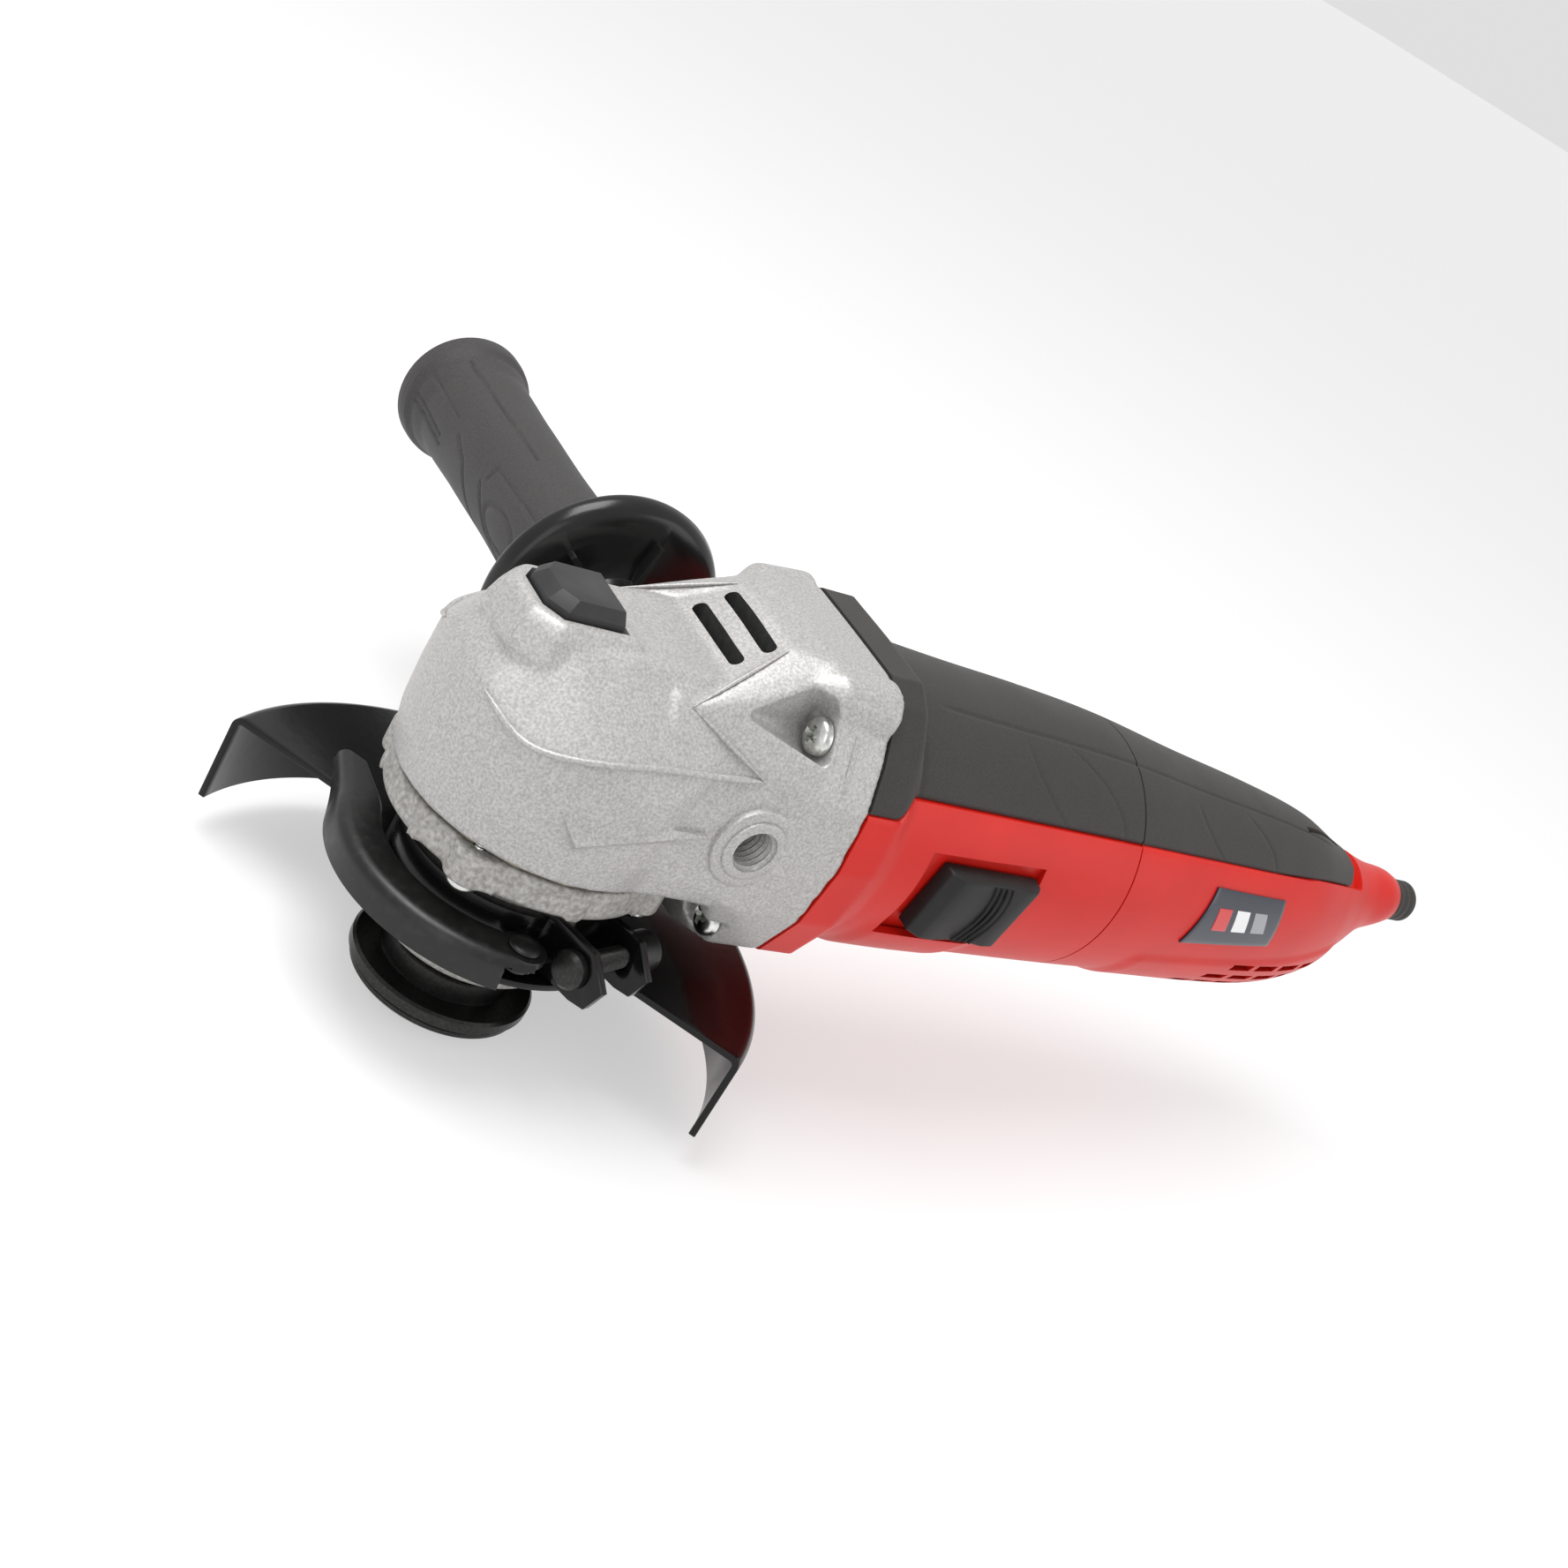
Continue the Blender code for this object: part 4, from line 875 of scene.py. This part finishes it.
cap_side = [(-109.4, 29.3), (-109.4, 32.6), (-107.6, 34.6), (-104, 35.0), (-99, 34.3), (-94, 34.5),
            (-88, 35.4), (-85, 35.2), (-82.2, 33.2), (-81.6, 29.3)]
slider_pad = extruded(cap_side, -SLIDER_HALF, SLIDER_HALF)
slider_tang = box((-99.5, 27.3, -2.1), (-91.5, 30, 2.1))
switch_slider = as_object("switch_slider_cap", slider_pad, BLACK_NYLON)
carve(switch_slider, "UNION", slider_tang)
soften(switch_slider, 0.7, 3, 25)
rib_bars = []
for number in range(4):
    rings = []
    for step in range(11):
        share = 0.94 - 0.188 * step
        middle = -102.4 + 1.7 * number + 2.6 * share ** 2
        rings.append([(x, y, share * SLIDER_HALF) for x, y in arc(middle, 34.35, 0.42, 0.75, 8, 45)])
    rib_bars.append(loft(rings))
carve(switch_slider, "UNION", *rib_bars)
to_axis = Matrix.Translation((0, 0, MOTOR_AXIS_MM * MM))
switch_slider.data.transform(to_axis @ Matrix.Rotation(radians(SWITCH_TILT), 4, "X") @ to_axis.inverted())
shade(switch_slider, 40)
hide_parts("switch_slider")
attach(switch_slider, "switch_slider")

# ---- Badge
# A thin enamelled plate with slanting ends, set into the side of the rear housing. It carries three plain
# slanted bars and no lettering.
BADGE_CORNERS = [(-172.5, 8.6), (-202.5, 6.6), (-204.5, -6.2), (-169, -7.2)]


def badge_point(along, across, lift):
    """A point on the plate: along runs from the front to the back, across from top to bottom."""
    top = Vector(BADGE_CORNERS[0]).lerp(Vector(BADGE_CORNERS[1]), along)
    low = Vector(BADGE_CORNERS[3]).lerp(Vector(BADGE_CORNERS[2]), along)
    x, z = top.lerp(low, across)
    angle = 0.0
    for _ in range(6):
        angle = asin(max(-1.0, min(1.0, z / body_reach(x, angle))))
    radius = body_reach(x, angle) + lift
    return (x, radius * cos(angle), radius * sin(angle))


def badge_patch(name, corners, lift, wall, finish):
    build = bmesh.new()
    grid = bmesh.ops.create_grid(build, x_segments=24, y_segments=12, size=0.5)
    for vert in grid["verts"]:
        u, v = vert.co.x + 0.5, vert.co.y + 0.5
        top = Vector(corners[0]).lerp(Vector(corners[1]), u)
        low = Vector(corners[3]).lerp(Vector(corners[2]), u)
        along, across = top.lerp(low, v)
        vert.co = badge_point(along, across, lift)
    bmesh.ops.recalc_face_normals(build, faces=build.faces)
    if sum((face.normal.y for face in build.faces)) < 0:
        bmesh.ops.reverse_faces(build, faces=build.faces)
    patch = as_object(name, build, finish)
    thicken(patch, wall)
    soften(patch, 0.12, 2, 50)
    shade(patch, 40)
    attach(patch, "housing")
    return patch


def enamel(name, colour):
    look, nodes, links, shader, where = finish_of(name, colour, 0.3)
    roughened(nodes, links, shader, grain(nodes, links, where, 1500, 3), 0.08, 0.0001)
    shader.inputs["Coat Weight"].default_value = 0.4
    return look


NAVY = enamel("navy_enamel", (0.006, 0.010, 0.026))
badge_plate = badge_patch("badge_plate", [(0, 0), (1, 0), (1, 1), (0, 1)], 0.55, 0.5, NAVY)
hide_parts("badge")
for number, (start, finish) in enumerate(((0.14, enamel("red_enamel", (0.60, 0.02, 0.02))),
                                          (0.38, enamel("white_enamel", (0.8, 0.8, 0.8))),
                                          (0.62, enamel("grey_enamel", (0.30, 0.31, 0.33))))):
    slant = [(start, 0.30), (start + 0.17, 0.30), (start + 0.23, 0.70), (start + 0.06, 0.70)]
    badge_patch(f"badge_bar_{number + 1}", slant, 0.68, 0.3, finish)

# ---- Cord guard
# A rubber sleeve that the cord would leave by, moulded with shallow rings. No cord is fitted.
CORD_BORE = 3.75
sleeve = [(CORD_BORE, -279.4), (5.3, -279.4), (5.74, -278.7)]
for ring in range(7):
    x = -277.2 + 2.5 * ring
    sleeve += [(5.74, x), (5.5, x + 0.35), (5.5, x + 0.8), (5.74, x + 1.15)]
sleeve += [(5.74, -255.5), (7.4, -255.2), (7.4, -252), (CORD_BORE, -252)]
cord_guard = as_object("cord_guard_sleeve", lay_x(turn(sleeve, 64)), RUBBER)
shade(cord_guard, 40)
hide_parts("cord_guard")
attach(cord_guard, "housing")

# ---- Spindle lock button
# A cut-cornered hard button on top of the head. Pressed, it drives the lock pin into the bevel gear.
BUTTON_GREY = black_nylon("button_nylon", (0.022, 0.022, 0.023), 0.46)
button_outline = [(-8.0, -8.8), (5.4, -8.8), (8.8, -4.6), (8.8, 4.6), (5.4, 8.8), (-8.0, 8.8)]
button = hull([(BUTTON_X + x * spread - lean, y * spread, z) for x, y in button_outline
               for z, spread, lean in ((23.8, 1.0, 0.0), (30.0, 0.97, 0.0), (32.4, 0.80, 0.9))])
lock_button = as_object("lock_button_cap", button, BUTTON_GREY)
carve(lock_button, "DIFFERENCE", shift(rod(2.7, 20, 28.3), LOCK_PIN_X, 0, 0))
soften(lock_button, 0.45, 3, 12)
shade(lock_button, 30)
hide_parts("lock_button")
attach(lock_button, "lock_button")

# ---- Disc guard
# Half a drum pressed from 1.6 mm sheet steel, with a flat top, a folded skirt and a hub ring, all coated
# in gloss black. It turns with its clamp band about the collar.
GUARD_RADIUS, GUARD_TOP, GUARD_DEPTH, GUARD_STEEL = 66.0, -42.15, 22.1, 1.6
GUARD_FROM, GUARD_TO = 132.7, 311.7


def gloss_paint():
    look, nodes, links, shader, where = finish_of("gloss_paint", (0.004, 0.004, 0.004), 0.2)
    peel = grain(nodes, links, where, 300, 2)
    roughened(nodes, links, shader, peel, 0.10, 0.0004)
    shader.inputs["Specular IOR Level"].default_value = 0.22
    shader.inputs["Coat Weight"].default_value = 0.1
    shader.inputs["Coat Roughness"].default_value = 0.08
    return look


def worn_black():
    """Satin black steel, rubbed a little brighter in patches."""
    look, nodes, links, shader, where = finish_of("worn_black", (0.007, 0.0065, 0.0065), 0.3, 0.1)
    rub = grain(nodes, links, where, 420, 6)
    links.new(between(nodes, links, rub, 0.5, 0.85, (0.005, 0.0047, 0.0047), (0.020, 0.018, 0.017)),
              shader.inputs["Base Color"])
    gloss = nodes.new("ShaderNodeMapRange")
    gloss.inputs["To Min"].default_value = 0.26
    gloss.inputs["To Max"].default_value = 0.5
    links.new(rub, gloss.inputs["Value"])
    links.new(gloss.outputs["Result"], shader.inputs["Roughness"])
    roughened(nodes, links, shader, grain(nodes, links, where, 1400, 3), 0.12, 0.0001)
    return look


GLOSS, WORN = gloss_paint(), worn_black()


def swept(profile, turn_from, turn_to, steps):
    """A closed profile of (radius, height), carried round part of a circle."""
    turns = [radians(turn_from + (turn_to - turn_from) * n / steps) for n in range(steps + 1)]
    return loft([[(radius * cos(a), radius * sin(a), z) for radius, z in profile] for a in turns])


def folded(radius, level, outer_bend, inner_bend, steps, step_degrees):
    """The two arcs of a sheet's fold, outside then inside, each from the top down."""
    return [arc(radius, level, bend, bend, steps, -step_degrees, 90) for bend in (outer_bend, inner_bend)]


guard_inside, guard_low = GUARD_RADIUS - GUARD_STEEL, GUARD_TOP - GUARD_DEPTH
outer_bend, inner_bend = folded(GUARD_RADIUS - 2.6, GUARD_TOP - 2.6, 2.6, 1.0, 7, 15)
guard_profile = [(30, GUARD_TOP), *outer_bend, (GUARD_RADIUS, guard_low), (guard_inside, guard_low),
                 *reversed(inner_bend), (30, GUARD_TOP - GUARD_STEEL)]
guard_shell = as_object("guard_pressing", swept(guard_profile, GUARD_FROM, GUARD_TO, 120), GLOSS)
hub = turn([(COLLAR_RADIUS + 0.4, GUARD_TOP - GUARD_STEEL), (31, GUARD_TOP - GUARD_STEEL), (31, GUARD_TOP),
            (COLLAR_RADIUS + 0.4, GUARD_TOP)])
carve(guard_shell, "UNION", hub)
soften(guard_shell, 0.35, 2, 50)
shade(guard_shell, 35)
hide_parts("guard_shell")
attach(guard_shell, "guard")

# ---- Clamp band
# A steel strap round the collar whose two bent ears are drawn together by a screw. A tab on one ear holds
# the lever's rivet. The strap's sizes are taken about the split, where Y points outwards.
CLAMP_TURN = 23.0
BAND_LOW, BAND_HIGH = GUARD_TOP + 0.4, -31.0
EAR_OFFSET, EAR_STEEL = 6.5, 2.0
SCREW_OUT, SCREW_LEVEL = 32.5, -35.0
RIVET_ALONG, RIVET_OUT = 17.0, 25.1
band_inner, band_outer = COLLAR_RADIUS + 0.4, COLLAR_RADIUS + 2.6
half_split = degrees(asin(EAR_OFFSET / band_outer))
strap_section = [(band_inner, BAND_LOW), (band_outer, BAND_LOW), (band_outer, BAND_HIGH), (band_inner, BAND_HIGH)]
strap = swept(strap_section, 90 + half_split, 450 - half_split, 96)
ear_outline = [(20.2, BAND_HIGH), (24, -29.2), (35, -29.2), (41, -35), (39, -40.5), (35, -41.4),
               (20.2, -41.4)]
ears_and_tab = []
for side in (1, -1):
    low, high = sorted((side * EAR_OFFSET, side * (EAR_OFFSET + EAR_STEEL)))
    ears_and_tab.append(loft([[(x, y, z) for y, z in ear_outline] for x in (low, high)]))
root = EAR_OFFSET + EAR_STEEL - 0.5
tab_round = [(0, 21), (3.6, 23.5), (3.5, 27), (0.5, 29), (-3.5, 28.5), (-4.6, 27.4)]
tab_outline = [(root, 22), *[(RIVET_ALONG + along, out) for along, out in tab_round], (root, 27.4)]
ears_and_tab.append(extruded(tab_outline, -37.8, -36.2))
clamp_band = as_object("clamp_strap", strap, GLOSS)
carve(clamp_band, "UNION", *ears_and_tab)
carve(clamp_band, "DIFFERENCE", shift(lay_x(rod(2.9, -12, 12)), 0, SCREW_OUT, SCREW_LEVEL),
      shift(rod(2.3, -50, -30), RIVET_ALONG, RIVET_OUT, 0))
soften(clamp_band, 0.35, 2, 40)


def turn_to_clamp(obj):
    obj.data.transform(Matrix.Rotation(radians(CLAMP_TURN), 4, "Z"))
    return shade(obj, 35)


turn_to_clamp(clamp_band)
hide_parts("guard_clamp_band")
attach(clamp_band, "guard")

# ---- Clamp screw, nut and lever rivet
# An oiled steel machine screw draws the ears together against a round nut; a solid rivet is the lever's
# pivot, its head hammered to a low dome.
DARK = grained("oiled_steel", (0.06, 0.06, 0.06), 0.34, 0.9, (1500, 3), (0.3, 0.75), (0.030, 0.030, 0.030),
               (0.055, 0.053, 0.051), (0.06, 0.0001))
thread = [(2.5 - 0.35 * (n % 2), -16 + 0.4 * n) for n in range(62)]
clamp_screw = as_object("clamp_screw_part", shift(lay_x(turn(
    [(0, -16.5), (2.0, -16.5), *thread, (2.5, 8.9), (4.2, 8.9), (4.2, 10.6), (3.4, 11.4), (0, 11.7)], 40)),
    0, SCREW_OUT, SCREW_LEVEL), DARK)
turn_to_clamp(clamp_screw)
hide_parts("clamp_screw")
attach(clamp_screw, "guard")
nut_outline = [(2.8, -15.6), (4.2, -15.6), (4.6, -15.1), (4.6, -9.5), (4.2, -8.9), (2.8, -8.9)]
clamp_nut = as_object("clamp_nut_part", shift(lay_x(turn(nut_outline, 48)), 0, SCREW_OUT, SCREW_LEVEL), WORN)
turn_to_clamp(clamp_nut)
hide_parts("clamp_nut")
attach(clamp_nut, "guard")
rivet_dome = [(3.6 * cos(a), -33.7 + 1.15 * sin(a)) for a in [radians(15 * n) for n in range(6)]]
lever_rivet = as_object("lever_rivet_part", shift(turn(
    [(0, -39), (2.6, -39), (3, -38.7), (3, -38.1), (2, -38.1), (2, -33.7), *rivet_dome, (0, -32.55)], 48),
    RIVET_ALONG, RIVET_OUT, 0), WORN)
turn_to_clamp(lever_rivet)
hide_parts("lever_rivet")
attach(lever_rivet, "guard")

# ---- Quick-release lever
# A steel lever folded to a channel and bent round the collar. It swings out about the rivet; its flared
# tip is for the finger, and its black finish is rubbed satin in patches.
LEVER_TOP, LEVER_LOW, LEVER_STEEL = -34.0, -41.6, 1.7
lever_rings = []
for step in range(97):
    share = step / 96
    turn_now = radians(59 - 132 * share)
    flare = 6.0 * max(0.0, (share - 0.82) / 0.18) ** 2
    narrow = 2.6 * max(0.0, (share - 0.8) / 0.2)
    low = LEVER_LOW + 3.5 * max(0.0, (share - 0.85) / 0.15)
    inner, outer = 26.8 + flare + narrow, 36.6 + flare
    under = LEVER_TOP - LEVER_STEEL
    fold, inside = folded(outer - 3.2, LEVER_TOP - 3.0, 3.0, 1.3, 6, 18)
    ring = [(inner, LEVER_TOP - 0.3), (inner + 0.4, LEVER_TOP), *fold, (outer, low), (outer - LEVER_STEEL, low),
            *reversed(inside), (inner, under)]
    lever_rings.append([(radius * cos(turn_now), radius * sin(turn_now), z) for radius, z in ring])
guard_lever = as_object("guard_lever_part", loft(lever_rings), WORN)
plate_low, plate_high = LEVER_TOP - LEVER_STEEL, LEVER_TOP - 0.05
for operation, radius, low, high in (("DIFFERENCE", 7.2, LEVER_LOW - 1, plate_low - 0.05),
                                     ("UNION", 5.0, plate_low + 0.05, plate_high), ("DIFFERENCE", 2.3, -50, -30)):
    carve(guard_lever, operation, shift(rod(radius, low, high), RIVET_ALONG, RIVET_OUT, 0))
turn_to_clamp(guard_lever)
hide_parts("guard_lever")
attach(guard_lever, "guard_lever")

# ---- Spindle, inner flange and lock nut
# The spindle's M14 thread takes the disc between a turned flange and a nut with four pin holes. Both are
# oiled dark steel; the spindle is ground bright.
STEEL = grained("ground_steel", (0.50, 0.50, 0.51), 0.26, 1.0, (900, 3), (0.3, 0.7), (0.40, 0.40, 0.41),
                (0.60, 0.60, 0.61), (0.08, 0.0001))
flange_profile = [(7.3, -57.6), (14.2, -57.6), (14.5, -57.9), (14.5, -62.2), (15.0, -62.5), (20.3, -62.5),
                  (20.9, -63.1), (20.9, -65.2), (20.3, -65.8), (7.3, -65.8)]
inner_flange = as_object("inner_flange_part", turn(flange_profile, 128), DARK)
shade(inner_flange, 30)
nut_profile = [(7.3, -66.1), (19.4, -66.1), (19.8, -66.5), (19.8, -67.4), (19.3, -67.9), (14.5, -67.9),
               (14, -71.0), (13.7, -71.2), (7.3, -71.2)]
lock_nut = as_object("lock_nut_part", turn(nut_profile, 128), DARK)
carve(lock_nut, "DIFFERENCE", *[shift(rod(2.2, -80, -66.9, 32), 17 * cos(radians(a)), 17 * sin(radians(a)), 0)
                                for a in (45, 135, 225, 315)])
shade(lock_nut, 30)
spindle_thread = [(7 - 0.6 * (n % 2), -57.4 - n) for n in range(14)]
spindle_profile = [(0, 17.6), (3.6, 17.6), (4, 17.2), (4, 3), (6, 2.6), (6, -29.2), (8.6, -29.5),
                   (8.6, -56.6), *spindle_thread, (6.0, -72), (0, -72)]
spindle = as_object("spindle_part", turn(spindle_profile, 64), STEEL)
shade(spindle, 30)
for piece, node, slot_name in ((inner_flange, "inner_flange", "dark_steel"), (lock_nut, "lock_nut", "dark_steel"),
                               (spindle, "spindle", "steel")):
    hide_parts(node)
    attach(piece, "spindle")

# ---- Side handle
# A hard nylon core with a dished hand guard, a zinc-plated stud that screws into the head, and a soft grip
# with engraved lines that ends in a flared pommel.
GRIP_BORE = 10.7
GLOSSY_NYLON = black_nylon("glossy_nylon", (0.005, 0.0048, 0.0048), 0.22, 0.2)
core_profile = [(5.3, -35.4), (9.1, -35.4), (9.5, -35.8), (10, -47), (11.2, -50.4), (15.5, -51.7), (21, -51.2),
                (26.6, -51.6), (28.6, -53.2), (29.45, -55.4), (29.2, -56.6), (28.2, -57.1), (20, -56.0),
                (13, -56.6), (10.4, -58.6), (10.4, -148), (5.3, -148)]
core_body = shift(lay_y(turn(core_profile, 128)), HANDLE_X, 0, HANDLE_Z)
handle_core = as_object("handle_core_part", core_body, GLOSSY_NYLON)
spokes = [swing(box((9, -52.6, -0.7), (21.5, -48.6, 0.7)), "Y", 60 * number + 20) for number in range(6)]
carve(handle_core, "UNION", *[shift(spoke, HANDLE_X, 0, HANDLE_Z) for spoke in spokes])
soften(handle_core, 0.3, 2, 50)
shade(handle_core, 40)
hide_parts("handle_core")
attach(handle_core, "housing")

ENGRAVED = [((-147, 25), (-127, 22)), ((-147, -6), (-129, -14)), ((-147, 1), (-130, -6)),
            ((-122, 12), (-114, 0)), ((-114, 0), (-104, -44)), ((-101, 14), (-101, 27)),
            ((-101, 27), (-71, 31)), ((-103, 4), (-94, -27)), ((-94, -27), (-74, -46)), ((-146, 62), (-98, 66))]
OVAL_CENTRE, OVAL_HALF = (-86, -9), (9.5, 17)
GRIP_FRONT, GRIP_END = -58.4, -155.6
GRIP_OUTLINE = [(GRIP_FRONT, 12.8), (-61, 14.8), (-80, 14.5), (-100, 14.2), (-122, 14.4), (-141, 14.8),
                (-147, 15.6), (-150.5, 17.0), (-152, 17.2), (-154.4, 17.2), (-155.3, 16.4), (GRIP_END, 15.0)]


def grip_radius(y):
    for (y1, r1), (y2, r2) in zip(GRIP_OUTLINE, GRIP_OUTLINE[1:]):
        if y >= y2:
            return r1 + (r2 - r1) * eased((y1 - y) / (y1 - y2))
    return GRIP_OUTLINE[-1][1]


def engraving(y, bearing):
    """Depth of the engraved lines at a place on the grip; both flanks carry them."""
    bearing = (bearing + 90) % 180 - 90
    arc = radians(bearing) * 14.5
    depth = 0.0
    for (y1, turn_1), (y2, turn_2) in ENGRAVED:
        a, b = Vector((y1, radians(turn_1) * 14.5)), Vector((y2, radians(turn_2) * 14.5))
        way = b - a
        share = min(max((Vector((y, arc)) - a).dot(way) / way.length_squared, 0), 1)
        depth = min(depth, groove((Vector((y, arc)) - a - way * share).length, 0.85, 0.5))
    across = hypot((y - OVAL_CENTRE[0]) / OVAL_HALF[0], (bearing - OVAL_CENTRE[1]) / OVAL_HALF[1])
    return min(depth, groove((across - 1) * 5, 1.0, 0.5))


grip_mesh = bmesh.new()
grip_grid = bmesh.ops.create_grid(grip_mesh, x_segments=220, y_segments=180, size=0.5)
for vert in grip_grid["verts"]:
    y = GRIP_FRONT + (GRIP_END - GRIP_FRONT) * (vert.co.x + 0.5)
    bearing = 360 * (vert.co.y + 0.5)
    radius = grip_radius(y) + (engraving(y, bearing) if y > -149 else 0)
    vert.co = (radius * cos(radians(bearing)), y, radius * sin(radians(bearing)))
bmesh.ops.remove_doubles(grip_mesh, verts=grip_mesh.verts, dist=1e-3)
for y, bore in ((GRIP_FRONT, GRIP_BORE), (GRIP_END, 5.4)):
    rim = [edge for edge in grip_mesh.edges if edge.is_boundary and abs(edge.verts[0].co.y - y) < 0.01]
    made = bmesh.ops.extrude_edge_only(grip_mesh, edges=rim)
    for vert in [item for item in made["geom"] if isinstance(item, bmesh.types.BMVert)]:
        reach = hypot(vert.co.x, vert.co.z)
        vert.co.x, vert.co.z = vert.co.x * bore / reach, vert.co.z * bore / reach
inner_rims = [edge for edge in grip_mesh.edges if edge.is_boundary]
bmesh.ops.bridge_loops(grip_mesh, edges=inner_rims)
bmesh.ops.recalc_face_normals(grip_mesh, faces=grip_mesh.faces)
GRIP_RUBBER = soft_rubber("grip_rubber", (0.036, 0.034, 0.034), (0.050, 0.047, 0.046), 1800)
handle_grip = as_object("handle_grip_part", shift(grip_mesh, HANDLE_X, 0, HANDLE_Z), GRIP_RUBBER)
shade(handle_grip, 50)
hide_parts("handle_grip")
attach(handle_grip, "housing")

stud_thread = [(4.0 - 0.5 * (n % 2), -22 - 0.75 * n) for n in range(18)]
stud_profile = [(0, -21.2), (3.4, -21.2), *stud_thread, (4.9, -35.6), (4.9, -90), (0, -90)]
handle_stud = as_object("handle_stud_part", shift(lay_y(turn(stud_profile, 48)), HANDLE_X, 0, HANDLE_Z), ZINC)
shade(handle_stud, 30)
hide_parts("handle_stud")
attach(handle_stud, "housing")

# ---- Inner pieces
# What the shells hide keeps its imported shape: the armature and field, bearings, brushes, gears, switch and
# clamps. Each takes the finish of what it is made of.


def laminated_iron():
    look, nodes, links, shader, where = finish_of("laminated_iron", (0.27, 0.27, 0.28), 0.5, 0.9)
    bands = nodes.new("ShaderNodeTexWave")
    bands.inputs["Scale"].default_value = 600
    links.new(where, bands.inputs["Vector"])
    links.new(between(nodes, links, bands.outputs["Fac"], 0.3, 0.7, (0.10, 0.10, 0.105), (0.27, 0.27, 0.28)),
              shader.inputs["Base Color"])
    roughened(nodes, links, shader, bands.outputs["Fac"], 0.15, 0.0002)
    return look


def patterned(name, dark, light, scale, roughness, metallic):
    return grained(name, light, roughness, metallic, (scale, 4), (0.3, 0.7), dark, light, (0.15, 0.0002))


LAMINATED = laminated_iron()
COPPER = patterned("enamelled_copper", (0.34, 0.09, 0.03), (0.58, 0.20, 0.08), 500, 0.35, 0.9)
BRASS = patterned("plain_brass", (0.46, 0.31, 0.10), (0.64, 0.46, 0.18), 400, 0.35, 1.0)
CARBON = patterned("pressed_carbon", (0.02, 0.02, 0.02), (0.05, 0.05, 0.05), 900, 0.7, 0.0)
PAPER = patterned("gasket_paper", (0.18, 0.15, 0.10), (0.30, 0.26, 0.18), 700, 0.9, 0.0)
INNER_FINISHES = {
    "armature_shaft": STEEL, "pinion": STEEL, "bevel_gear": STEEL, "pinion_bearing": STEEL, "rear_bearing": STEEL,
    "spindle_bearing": STEEL, "lock_pin": STEEL, "lock_spring": STEEL, "armature_core": LAMINATED,
    "stator_core": LAMINATED, "armature_winding_front": COPPER, "armature_winding_rear": COPPER,
    "field_coil_left": COPPER, "field_coil_right": COPPER, "commutator": COPPER, "spindle_bush": BRASS,
    "brush_holder_upper": BRASS, "brush_holder_lower": BRASS, "carbon_brush_upper": CARBON,
    "carbon_brush_lower": CARBON, "cap_gasket": PAPER, "cooling_fan": BLACK_NYLON, "air_baffle": BLACK_NYLON,
    "switch_block": BLACK_NYLON, "switch_rod": BLACK_NYLON, "cord_clamp": BLACK_NYLON,
    "rear_bearing_sleeve": RUBBER,
}
for node, finish in INNER_FINISHES.items():
    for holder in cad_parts[node].material_slots:
        holder.material = finish
